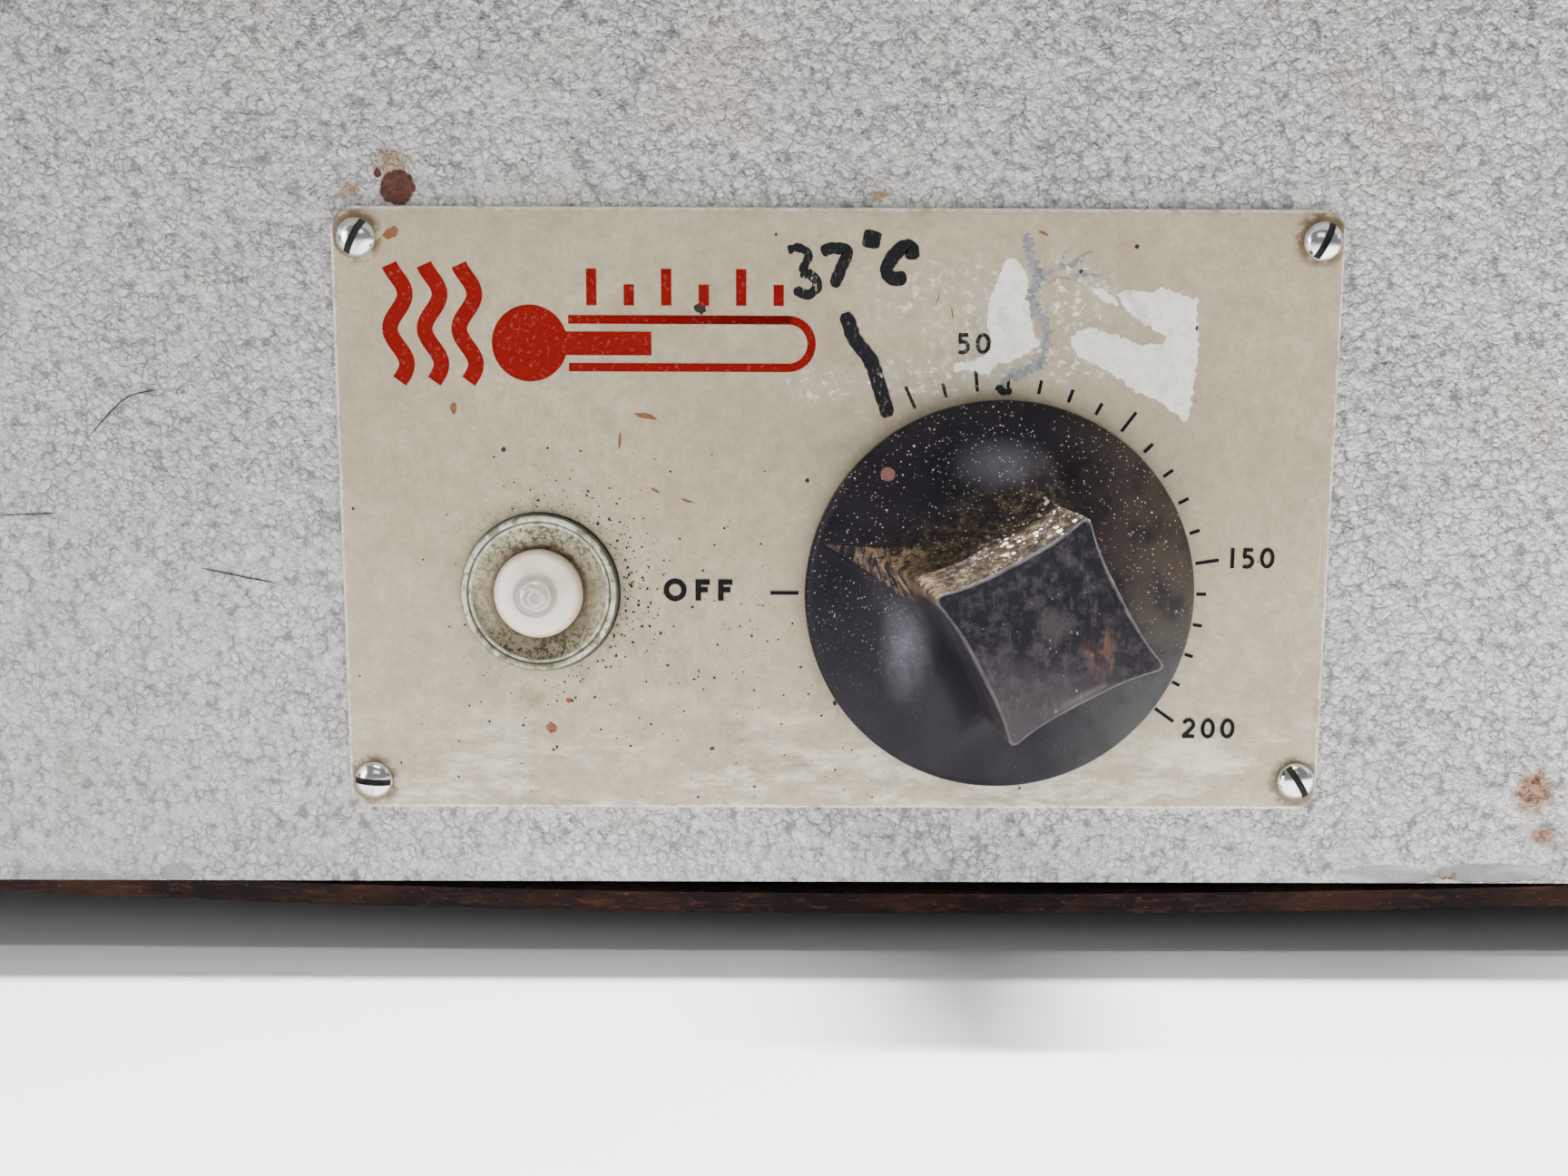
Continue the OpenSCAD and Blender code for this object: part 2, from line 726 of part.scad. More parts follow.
module hinge_frame_leaves() {
    color("gainsboro") placed() for (z = hinge_z) difference() {
        union() {
            box([3 - body_w / 2, -leaf_t, z - hinge_h / 2],
                [hinge_x + knuckle_r, 0, z + hinge_h / 2]);
            for (s = [-1, 1]) {
                zk = z + s * hinge_h / 3;
                knuckle(zk);
                box([hinge_x - knuckle_r, hinge_y, zk - knuckle_h / 2],
                    [hinge_x + knuckle_r, -leaf_t / 2, zk + knuckle_h / 2]);
            }
        }
        translate([hinge_x, hinge_y, z - hinge_h]) cylinder(r = pin_r + 0.02, h = 2 * hinge_h);
        holes_y(hinge_frame_screws_at, -leaf_t, leaf_t, screw_hole_r);
    }
}

module hinge_pins() {
    color("gainsboro") placed() for (z = hinge_z)
        translate([hinge_x, hinge_y, z - hinge_h / 2 - 0.5]) {
            cylinder(r = pin_r, h = hinge_h + 1);
            translate([0, 0, hinge_h + 1]) cylinder(r = pin_r + 1.5, h = 2);
        }
}

module hinge_frame_screws() {
    color("gainsboro") placed() for (p = hinge_frame_screws_at)
        screw_y(p[0], -leaf_t, p[1], 8, 25);
}

module hinge_door_leaves() {
    x1 = -door_w / 2;
    color("gainsboro") placed() for (z = hinge_z) difference() {
        union() {
            box([x1 - leaf_t, door_front + 6, z - hinge_h / 2],
                [x1, door_back - 2, z + hinge_h / 2]);
            knuckle(z);
            box([hinge_x, hinge_y - knuckle_r / 2, z - knuckle_h / 2],
                [x1 - leaf_t / 2, hinge_y + knuckle_r / 2, z + knuckle_h / 2]);
        }
        translate([hinge_x, hinge_y, z - hinge_h]) cylinder(r = pin_r + running,
            h = 2 * hinge_h);
        for (s = [-1, 1]) translate([x1 - leaf_t - 1, door_back - 24, z + s * hinge_h / 3])
            rotate([0, 90, 0]) cylinder(r = screw_hole_r, h = leaf_t + 2);
    }
}

module hinge_door_screws() {
    color("gainsboro") placed() for (p = hinge_door_screws_at)
        translate([-door_w / 2 - leaf_t, p[0], p[1]]) rotate([0, 0, -90])
            screw_y(0, 0, 0, 8, 70);
}

// ---------- latch ----------

// Distance in front of the door to y
function out(d) = door_front - d;

module handle_base() {
    color("gainsboro") placed() difference() {
        bar_y(lever_x, out(base_t), door_z, base_t, base_r);
        bar_y(lever_x, out(base_t + 1), door_z, base_t + 2, spindle_r + running);
        for (s = [-1, 1]) {
            bar_y(lever_x, out(base_t + 1), door_z + s * 15, base_t + 2, screw_hole_r);
            bar_y(lever_x, out(base_t + 1), door_z + s * 15, head_h + 1.2, head_r + 0.1);
        }
    }
}

module handle_base_screws() {
    color("gainsboro") placed() for (s = [-1, 1])
        screw_y(lever_x, out(base_t - head_h - 0.2), door_z + s * 15, 12, 10);
}

module handle_lever() {
    hub_l = finger_space + lever_r - hub_out;
    color("gainsboro") placed() difference() {
        union() {
            bar_y(lever_x, out(finger_space + lever_r), door_z, hub_l, dome_r);
            translate([lever_x, out(finger_space + lever_r), door_z]) sphere(r = dome_r);
            translate([lever_x, out(finger_space + lever_r), door_z - lever_l])
                cylinder(r = lever_core_r, h = lever_l);
            translate([lever_x, out(finger_space + lever_r), door_z - grip_top])
                cylinder(r = lever_r - 1, h = 4);
        }
        bar_y(lever_x, out(hub_out + 12), door_z, 13, spindle_r + 0.02);
    }
}

module handle_grip() {
    grip_h = lever_l - grip_top;
    color([0.1, 0.1, 0.1]) placed()
        translate([lever_x, out(finger_space + lever_r), door_z - lever_l]) difference() {
            union() {
                cylinder(r1 = lever_r, r2 = lever_r - 1.5, h = grip_h);
                sphere(r = lever_r);
            }
            translate([0, 0, -1]) cylinder(r = lever_core_r + 0.02, h = grip_h + 2);
        }
}

module latch_tongue_and_spindle() {
    spindle_in = 20;
    color("gainsboro") placed() {
        bar_y(lever_x, out(hub_out + 12), door_z, hub_out + 12 + spindle_in, spindle_r);
        box([lever_x - tongue_w / 2, out(hub_out), door_z],
            [lever_x + tongue_w / 2, out(tongue_out), door_z + tongue_l]);
        bar_y(lever_x, out(hub_out), door_z, tongue_t, hub_r);
        bar_y(lever_x, out(-sheet - turn_gap), door_z, 6, 9);
    }
}

module latch_keeper() {
    lip = hub_out + 0.7;
    x0 = lever_x + tongue_l - 10;
    color("gainsboro") placed() difference() {
        union() {
            box([door_w / 2 + 4, -leaf_t, door_z - keeper_foot_h / 2],
                [keeper_x, 0, door_z + keeper_foot_h / 2]);
            box([keeper_x - keeper_t, out(lip + keeper_t), door_z - keeper_h / 2],
                [keeper_x, 0, door_z + keeper_h / 2]);
            box([x0, out(lip + keeper_t), door_z - keeper_h / 2],
                [keeper_x, out(lip), door_z + keeper_h / 2]);
        }
        holes_y(keeper_screws_at, -leaf_t, leaf_t, screw_hole_r);
    }
}

module keeper_screws() {
    color("gainsboro") placed() for (p = keeper_screws_at)
        screw_y(p[0], -leaf_t, p[1], 8, 80);
}

// ---------- control panel ----------

module control_panel() {
    color([0.8, 0.77, 0.7]) placed() difference() {
        translate([0, 0, panel_z]) slab(round_rect(panel_w, panel_h, panel_r), -panel_t,
            panel_t);
        holes_y(panel_screws_at, -panel_t, panel_t, screw_hole_r);
        holes_y([[knob_x, dial_z]], -panel_t, panel_t, bush_r + 0.1);
        holes_y([[lamp_x, dial_z]], -panel_t, panel_t, barrel_r + 0.1);
    }
}

module panel_screws() {
    turns = [10, 28, -38, 27];
    color("gainsboro") placed() for (i = [0:3])
        screw_y(panel_screws_at[i][0], -panel_t, panel_screws_at[i][1], 7, turns[i]);
}

// The dished bezel has a raised rim round a flat seat
module lamp_bezel() {
    color("gainsboro") placed() translate([lamp_x, -panel_t, dial_z]) rotate([90, 0, 0])
        rotate_extrude() polygon(concat(
            [[barrel_r + 0.1, 0], [bezel_r - 0.4, 0]],
            arc(bezel_r - 0.8, 1.2, 0.8, 0, 150, 8),
            [[bezel_r - 2.2, 0.7], [barrel_r + 0.1, 0.7]]));
}

// Milky lens with a clear nipple in the middle
module lamp_lens() {
    nipple_r = lens_r * 0.52;
    color("white") placed() translate([lamp_x, -panel_t - 0.7, dial_z]) rotate([90, 0, 0])
        rotate_extrude() polygon(concat([[0, 0], [lens_r, 0]],
            arc(lens_r - 1.2, 1.9, 1.2, 0, 80, 6),
            [[nipple_r, 3.3]],
            arc(0, 3.3, nipple_r, 20, 90, 8)));
}

module lamp_barrel() {
    color("ivory") placed() {
        bar_y(lamp_x, -panel_t - 0.7, dial_z, barrel_l, barrel_r);
        for (s = [-1, 1])
            bar_y(lamp_x + s * 3, barrel_l - panel_t - 1.2, dial_z, 5, 0.8);
    }
}

module lamp_nut() {
    color("gainsboro") placed() difference() {
        translate([lamp_x, sheet, dial_z]) rotate([-90, 0, 0])
            cylinder(r = barrel_r + 3.5, h = 3.5, $fn = 6);
        bar_y(lamp_x, 0, dial_z, 6, barrel_r + 0.05);
    }
}

// Half of one side of the square grip, with its ears at the corners
function grip_side(r, steps = 10) =
    let (h = r * cos(45))
    [for (i = [0:steps - 1]) let (s = -0.93 + 1.86 * i / (steps - 1))
        [h - grip_pinch * (1 - pow(s, 4)), h * s]];
function turned(p, a) = [for (q = p) [q[0] * cos(a) - q[1] * sin(a),
    q[0] * sin(a) + q[1] * cos(a)]];
function grip_outline(r) =
    [for (k = [0:3]) each turned(grip_side(r), 90 * k)];

knob_rest_turn = -16.7;

module knob() {
    grip_z = skirt_gap + skirt_edge;
    grip_l = knob_out - grip_z;
    color([0.13, 0.12, 0.13]) placed()
        translate([knob_x, -panel_t, dial_z]) rotate([90, 0, 0]) rotate([0, 0, knob_rest_turn])
            difference() {
                union() {
                    translate([0, 0, skirt_gap]) cylinder(r = skirt_r, h = skirt_edge);
                    translate([0, 0, grip_z])
                        cylinder(r1 = skirt_r, r2 = grip_r * 0.9, h = skirt_rise);
                    translate([0, 0, grip_z]) linear_extrude(grip_l, scale = 1 / grip_base)
                        rotate([0, 0, 45]) polygon(grip_outline(grip_r * grip_base));
                }
                cylinder(r = shaft_r + 0.05, h = knob_bore_l);
                cylinder(r = 9, h = skirt_gap + 5);
            }
}

module knob_shaft() {
    color("gold") placed()
        bar_y(knob_x, -panel_t - knob_bore_l + 0.5, dial_z, panel_t + knob_bore_l + 6,
            shaft_r);
}

// ---------- thermostat ----------

module thermostat_body() {
    color("lightgray") placed() difference() {
        union() {
            box([knob_x - stat_w / 2, stat_y, dial_z - stat_h / 2],
                [knob_x + stat_w / 2, stat_y + stat_d, dial_z + stat_h / 2]);
            for (s = [-1, 1]) box([knob_x + s * 12 - 3, stat_y + stat_d - 1, dial_z - 12],
                [knob_x + s * 12 + 3, stat_y + stat_d + 6, dial_z - 11]);
        }
        bar_y(knob_x, stat_y - 1, dial_z, 8, shaft_r + 0.5);
    }
}

module thermostat_bush() {
    color("gold") placed() difference() {
        bar_y(knob_x, -panel_t - 3.5, dial_z, panel_t + 3.5 + stat_y, bush_r);
        bar_y(knob_x, -panel_t - 5, dial_z, stat_y + panel_t + 6, shaft_r + running);
    }
}

module thermostat_bulb() {
    color("peru") placed() translate([-bulb_l / 2, bulb_y, bulb_z]) rotate([0, 90, 0])
        cylinder(r = bulb_r, h = bulb_l);
}

module bulb_clips() {
    color("gainsboro") placed() for (s = [-1, 1]) difference() {
        box([s * 30 - 4, bulb_y - bulb_r - 2, bulb_z - bulb_r - 2],
            [s * 30 + 4, chamber_d, bulb_z + bulb_r + 2]);
        translate([s * 30 - 5, bulb_y, bulb_z]) rotate([0, 90, 0])
            cylinder(r = bulb_r + 0.05, h = 10);
    }
}

module thermostat_capillary() {
    rear_y = body_d - 11;
    low = deck_under - 30;
    color("peru") placed() swept([
        [knob_x + 15, stat_y + stat_d + 0.2, dial_z + 12],
        [knob_x + 15, stat_y + stat_d + 14, dial_z + 12],
        [knob_x + 40, stat_y + stat_d + 50, low],
        [knob_x + 120, 170, low],
        [165, 240, low],
        [170, slab_back - 20, low],
        [170, rear_y - 1, low + 14],
        [168, rear_y, deck_under + 20],
        [165, rear_y, mouth_z + 60],
        [160, rear_y, mouth_z + 160],
        [140, rear_y, bulb_z - 40],
        [entry_x + 30, rear_y, bulb_z - 8],
        [entry_x + 6, rear_y - 2, bulb_z],
        [entry_x, rear_y - 10, bulb_z],
        [entry_x, slab_back - 6, bulb_z],
        [entry_x, liner_back, bulb_z],
        [entry_x, bulb_y + 7, bulb_z],
        [entry_x - 5, bulb_y + 1, bulb_z],
        [entry_x - 14, bulb_y, bulb_z],
        [bulb_l / 2 + 0.2, bulb_y, bulb_z]], capillary_r, 4);
}

// ---------- electrics ----------

module terminal_block() {
    color("ivory") placed() difference() {
        box([block_x, block_y, deck_under - block_size[2]],
            [block_x + block_size[0], block_y + block_size[1], deck_under]);
        for (i = [0:4]) translate([block_x + 6 + 12 * i, block_y + block_size[1] / 2,
            deck_under - block_size[2] - 1]) cylinder(r = 3, h = 8);
    }
}

module wiring() {
    face = block_y - 0.3;
    back = block_y + block_size[1] + 0.3;
    z = deck_under - block_size[2] / 2;
    tail_y = barrel_l - panel_t + 4.2;
    stat_back = stat_y + stat_d + 6.3;
    rear_y = body_d - 8;
    color("firebrick") placed() {
        for (k = [0, 1])
            swept([[lamp_x - 3 + 6 * k, tail_y, dial_z],
                [lamp_x - 3 + 6 * k, tail_y + 14, dial_z],
                [lamp_x + 12 * k, 90, dial_z + 12],
                [-10 + 12 * k, 160, z - 6],
                [block_x - 20 + 12 * k, 205, z],
                [block_x + 6 + 12 * k, face - 15, z],
                [block_x + 6 + 12 * k, face, z]], wire_r);
        for (k = [0, 1])
            swept([[knob_x - 12 + 24 * k, stat_back, dial_z - 11.5],
                [knob_x - 12 + 24 * k, stat_back + 12, dial_z - 11.5],
                [knob_x + 4 + 24 * k, 100, dial_z - 16],
                [block_x + 22 + 12 * k, 170, dial_z + 6],
                [block_x + 30 + 12 * k, face - 18, z],
                [block_x + 30 + 12 * k, face, z]], wire_r);
        for (k = [0, 1])
            swept([[block_x + 6 + 30 * k, back, z],
                [block_x + 6 + 30 * k, back + 16, z],
                [block_x + 10 + 16 * k, slab_back - 14, z - 6],
                [(2 * k - 1) * 3 * heater_bend, rear_y - 2, z + 4],
                [(2 * k - 1) * 3 * heater_bend, rear_y, plinth_h + 12],
                [(2 * k - 1) * 3 * heater_bend, rear_y - 1, heater_z - 8],
                [(2 * k - 1) * 3 * heater_bend, rear_y - 4, heater_z - 1],
                [(2 * k - 1) * 3 * heater_bend, heater_tail + 0.3, heater_z]], wire_r);
    }
}

module cable_gland() {
    y0 = body_d - sheet - 8;
    color([0.1, 0.1, 0.1]) placed() difference() {
        union() {
            bar_y(gland_x, y0, gland_z, 9.5 + sheet, gland_r - 2);
            translate([gland_x, body_d, gland_z]) rotate([-90, 0, 0])
                cylinder(r = gland_r + 1.5, h = 5, $fn = 6);
            translate([gland_x, body_d + 4, gland_z]) rotate([-90, 0, 0])
                cylinder(r1 = gland_r, r2 = gland_r - 1.5, h = gland_out - 4);
        }
        bar_y(gland_x, y0 - 1, gland_z, gland_out + 12 + sheet, gland_bore_r);
    }
}

// ---------- vent ----------

shutter_z = body_h + vent_flange_t + 0.2;

module vent_tube() {
    z0 = mouth_z + chamber_h - 2;
    color("gainsboro") placed() difference() {
        union() {
            translate([0, vent_y, z0])
                cylinder(r = port_r + port_wall, h = body_h + vent_flange_t - z0);
            translate([0, vent_y, body_h]) cylinder(r = vent_flange_r, h = vent_flange_t);
        }
        translate([0, vent_y, z0 - 1]) cylinder(r = port_r, h = body_h + 10 - z0);
        for (p = vent_screws_at) {
            translate([p[0], p[1], body_h - 1])
                cylinder(r = screw_hole_r + 0.1, h = vent_flange_t + 2);
            translate([p[0], p[1], body_h + vent_flange_t - 2.05])
                cylinder(r1 = screw_r + 0.1, r2 = screw_r + 2.2, h = 2.1);
        }
        translate([vent_screw_ring, vent_y, body_h - 1])
            cylinder(r = pivot_r + 0.02, h = vent_flange_t + 2);
    }
}

module vent_screws() {
    color("gainsboro") placed() for (p = vent_screws_at)
        sunk_screw_z(p[0], p[1], body_h + vent_flange_t, 10);
}

module vent_pivot() {
    color("gainsboro") placed() {
        translate([vent_screw_ring, vent_y, body_h - 7])
            cylinder(r = pivot_r, h = 7 + shutter_z + shutter_t + 0.2 - body_h);
        translate([vent_screw_ring, vent_y, shutter_z + shutter_t + 0.2])
            cylinder(r = 4.5, h = 2);
    }
}

module vent_shutter() {
    color("gainsboro") placed() difference() {
        union() {
            translate([0, vent_y, shutter_z]) cylinder(r = shutter_r, h = shutter_t);
            translate([vent_screw_ring, vent_y, shutter_z]) cylinder(r = 7, h = shutter_t);
            box([0, vent_y - 6, shutter_z], [vent_screw_ring, vent_y + 6,
                shutter_z + shutter_t]);
            translate([-shutter_r + 5, vent_y, shutter_z]) cylinder(r = 4, h = 9);
        }
        translate([vent_screw_ring, vent_y, shutter_z - 1])
            cylinder(r = pivot_r + running, h = shutter_t + 2);
    }
}

case_sides();
case_top();
front_frame();
back_cover();
back_cover_screws();
deck_plate();
base_board();
base_screws();
feet();
foot_screws();
chamber_liner();
chamber_top();
shelf_rails();
floor_plate();
heater_element();
heater_supports();
heater_bushes();
insulation_top();
insulation_sides();
insulation_back();
insulation_floor();
door_seal();
hinge_frame_leaves();
hinge_pins();
hinge_frame_screws();
latch_keeper();
keeper_screws();
control_panel();
panel_screws();
lamp_bezel();
lamp_lens();
lamp_barrel();
lamp_nut();
thermostat_body();
thermostat_bush();
thermostat_capillary();
thermostat_bulb();
bulb_clips();
terminal_block();
wiring();
cable_gland();
vent_tube();
vent_screws();
vent_pivot();
door_skin();
door_liner();
door_insulation();
door_liner_screws();
hinge_door_leaves();
hinge_door_screws();
handle_base();
handle_base_screws();
handle_lever();
handle_grip();
latch_tongue_and_spindle();
knob();
knob_shaft();
shelf_lower();
shelf_upper();
vent_shutter();
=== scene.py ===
import json
import math
import random

import bmesh
import bpy
from mathutils import Matrix, Vector, noise


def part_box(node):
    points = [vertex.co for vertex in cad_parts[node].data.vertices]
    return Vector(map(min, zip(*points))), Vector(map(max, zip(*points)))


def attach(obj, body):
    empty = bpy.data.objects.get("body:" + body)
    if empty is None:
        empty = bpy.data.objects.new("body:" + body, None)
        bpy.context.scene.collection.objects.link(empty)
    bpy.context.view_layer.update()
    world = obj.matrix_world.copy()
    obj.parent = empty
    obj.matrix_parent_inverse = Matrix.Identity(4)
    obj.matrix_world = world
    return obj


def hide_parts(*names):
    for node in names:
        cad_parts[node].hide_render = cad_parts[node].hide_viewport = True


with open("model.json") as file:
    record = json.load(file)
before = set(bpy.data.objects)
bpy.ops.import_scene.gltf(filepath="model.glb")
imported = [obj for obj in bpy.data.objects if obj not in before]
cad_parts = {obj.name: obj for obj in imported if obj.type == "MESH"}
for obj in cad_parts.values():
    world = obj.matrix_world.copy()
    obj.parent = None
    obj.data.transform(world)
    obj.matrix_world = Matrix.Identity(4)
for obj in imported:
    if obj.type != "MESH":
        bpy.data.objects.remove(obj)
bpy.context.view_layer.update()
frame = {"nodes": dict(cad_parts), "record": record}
NODE = frame["nodes"]
MM = 0.001

# ---------------------------------------------------------------- places from the CAD

lo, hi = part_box("control_panel")
PANEL_X, PANEL_Z, PANEL_Y = (lo.x + hi.x) / 2, (lo.z + hi.z) / 2, lo.y
PANEL_W, PANEL_H, PANEL_T = hi.x - lo.x, hi.z - lo.z, hi.y - lo.y
lo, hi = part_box("knob")
KNOB_X, KNOB_Z, KNOB_FRONT = (lo.x + hi.x) / 2, (lo.z + hi.z) / 2, lo.y
KNOB_R = (hi.x - lo.x) / 2
lo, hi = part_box("lamp_bezel")
LAMP_X, LAMP_Z, BEZEL_R = (lo.x + hi.x) / 2, (lo.z + hi.z) / 2, (hi.x - lo.x) / 2
LAMP_MM = ((LAMP_X - PANEL_X) / MM, (LAMP_Z - PANEL_Z) / MM)
lo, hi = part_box("panel_screws")
CAD_HEAD_R = 3.2                        # the CAD's screw heads, in millimetres
SCREW_AX = (hi.x - lo.x) / 2 / MM - CAD_HEAD_R
SCREW_AZ = (hi.z - lo.z) / 2 / MM - CAD_HEAD_R
CASE_LO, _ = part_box("front_frame")
EDGE_Z = CASE_LO.z                      # the casing's lower edge
GRIP_TURN, ARROW = 28.3, 163.3          # degrees: the grip's sides, and the arrow, at rest


def on_panel(x, z, out=0.0):
    """A point on the panel's face: millimetres right and up from its middle, and out."""
    return Vector((PANEL_X + x * MM, PANEL_Y - out * MM, PANEL_Z + z * MM))


# ---------------------------------------------------------------- material graphs

class Graph:
    """A material and short calls for the nodes it is made of. Sizes are in metres."""

    def __init__(self, name):
        self.mat = bpy.data.materials.new(name)
        self.mat.use_nodes = True
        self.tree = self.mat.node_tree
        self.tree.nodes.clear()
        self.shader = self.tree.nodes.new("ShaderNodeBsdfPrincipled")
        out = self.tree.nodes.new("ShaderNodeOutputMaterial")
        self.tree.links.new(self.shader.outputs[0], out.inputs[0])
        self.coord = self.tree.nodes.new("ShaderNodeTexCoord")
        self.co = self.coord.outputs["Object"]
        self.x, self.y, self.z = self.split(self.co)

    def put(self, socket, value):
        if isinstance(value, bpy.types.NodeSocket):
            self.tree.links.new(value, socket)
        elif socket.type == "RGBA":
            socket.default_value = (*value[:3], 1)
        else:
            socket.default_value = value

    def set(self, **values):
        for name, value in values.items():
            self.put(self.shader.inputs[name.replace("_", " ")], value)
        return self

    def math(self, op, a, b=0.0, clamp=False):
        n = self.tree.nodes.new("ShaderNodeMath")
        n.operation, n.use_clamp = op, clamp
        self.put(n.inputs[0], a)
        self.put(n.inputs[1], b)
        return n.outputs[0]

    def add(self, a, b): return self.math("ADD", a, b)
    def sub(self, a, b): return self.math("SUBTRACT", a, b)
    def mul(self, a, b): return self.math("MULTIPLY", a, b)
    def most(self, a, b): return self.math("MAXIMUM", a, b)

    def vec(self, op, a, b):
        n = self.tree.nodes.new("ShaderNodeVectorMath")
        n.operation = op
        self.put(n.inputs[0], a)
        self.put(n.inputs[1], b)
        return n.outputs[1] if op in ("DISTANCE", "LENGTH", "DOT_PRODUCT") else n.outputs[0]

    def texture(self, kind, size, at=None, **values):
        """A texture node whose grain has the given size; at is where it is looked up."""
        n = self.tree.nodes.new("ShaderNodeTex" + kind)
        self.put(n.inputs["Vector"], at or self.co)
        n.inputs["Scale"].default_value = 1 / size
        for name, value in values.items():
            n.inputs[name].default_value = value
        return n

    def noise(self, size, detail=3.0, rough=0.55, at=None, warp=0.0):
        n = self.texture("Noise", size, at, Detail=detail, Roughness=rough, Distortion=warp)
        return n.outputs[0]

    def noise3(self, size, detail=2.0):
        """Noise with three channels, for bending coordinates."""
        return self.texture("Noise", size, Detail=detail).outputs[1]

    def cells(self, size, feature="F1", at=None, colour=False):
        n = self.texture("Voronoi", size, at)
        n.feature = feature
        return n.outputs["Color"] if colour else n.outputs["Distance"]

    def warped(self, size, amount, stretch=(1, 1, 1)):
        """Coordinates bent by noise and stretched."""
        bend = self.vec("SUBTRACT", self.noise3(size), (0.5, 0.5, 0.5))
        bend = self.vec("MULTIPLY", bend, (amount,) * 3)
        return self.vec("MULTIPLY", self.vec("ADD", self.co, bend), stretch)

    def scaled(self, stretch):
        return self.vec("MULTIPLY", self.co, stretch)

    def step(self, value, low, high, a=0.0, b=1.0):
        """A smooth step from a at low to b at high."""
        n = self.tree.nodes.new("ShaderNodeMapRange")
        n.interpolation_type = "SMOOTHSTEP"
        for socket, v in zip(n.inputs, (value, low, high, a, b)):
            self.put(socket, v)
        return n.outputs[0]

    def line(self, value, low, high, a=0.0, b=1.0):
        """A straight slope from a at low to b at high."""
        n = self.tree.nodes.new("ShaderNodeMapRange")
        for socket, v in zip(n.inputs, (value, low, high, a, b)):
            self.put(socket, v)
        return n.outputs[0]

    def mix(self, amount, a, b, how="MIX"):
        n = self.tree.nodes.new("ShaderNodeMix")
        n.data_type, n.blend_type = "RGBA", how
        self.put(n.inputs[0], amount)
        self.put(n.inputs[6], a)
        self.put(n.inputs[7], b)
        return n.outputs[2]

    def ramp(self, value, *stops):
        n = self.tree.nodes.new("ShaderNodeValToRGB")
        self.put(n.inputs[0], value)
        e = n.color_ramp.elements
        while len(e) < len(stops):
            e.new(0.5)
        for i, (at, colour) in enumerate(stops):
            e[i].position, e[i].color = at, (*colour, 1)
        return n.outputs[0]

    def bump(self, height, distance, strength=1.0, normal=None):
        n = self.tree.nodes.new("ShaderNodeBump")
        n.inputs["Strength"].default_value = strength
        n.inputs["Distance"].default_value = distance
        self.put(n.inputs["Height"], height)
        if normal is not None:
            self.put(n.inputs["Normal"], normal)
        return n.outputs[0]

    def patch(self, lo, hi, *grain):
        """Noise cut to soft-edged patches: 0 below lo, 1 above hi."""
        return self.step(self.noise(*grain), lo, hi)

    def over(self, colour, mask, amount, tint):
        """The colour, with tint laid over it where the mask is, as strongly as amount."""
        return self.mix(self.mul(mask, amount), colour, tint)

    def spot(self, x, z, rx, rz, soft=0.3, ragged=0.5, grain=0.003):
        """1 inside a ragged ellipse on a surface that faces the front, 0 outside."""
        dx = self.math("DIVIDE", self.sub(self.x, x), rx)
        dz = self.math("DIVIDE", self.sub(self.z, z), rz)
        d = self.math("SQRT", self.add(self.mul(dx, dx), self.mul(dz, dz)))
        n = self.mul(self.sub(self.noise(grain, 4, 0.65), 0.5), 2 * ragged)
        return self.step(self.add(d, n), 1 - soft, 1, 1.0, 0.0)

    def spots(self, *rows):
        """The most of several ragged ellipses, placed in millimetres from the panel's middle."""
        found = None
        for x, z, rx, rz, soft, ragged, grain in rows:
            one = self.spot(PANEL_X + x * MM, PANEL_Z + z * MM, rx * MM, rz * MM,
                            soft, ragged, grain * MM)
            found = one if found is None else self.most(found, one)
        return found

    def split(self, colour):
        """A colour's red, green and blue, or a vector's x, y and z."""
        n = self.tree.nodes.new("ShaderNodeSeparateColor" if colour.type == "RGBA"
                                else "ShaderNodeSeparateXYZ")
        self.tree.links.new(colour, n.inputs[0])
        return n.outputs

    def specks(self, size, keep, radius=0.3, at=None):
        """Small round dots, one in each of a share of the cells."""
        n = self.texture("Voronoi", size, at)
        chance = self.split(n.outputs["Color"])
        reach = self.mul(self.line(chance[1], 0, 1, 0.35, 1.0), radius)
        dot = self.math("LESS_THAN", n.outputs["Distance"], reach)
        return self.mul(dot, self.math("GREATER_THAN", chance[0], keep))


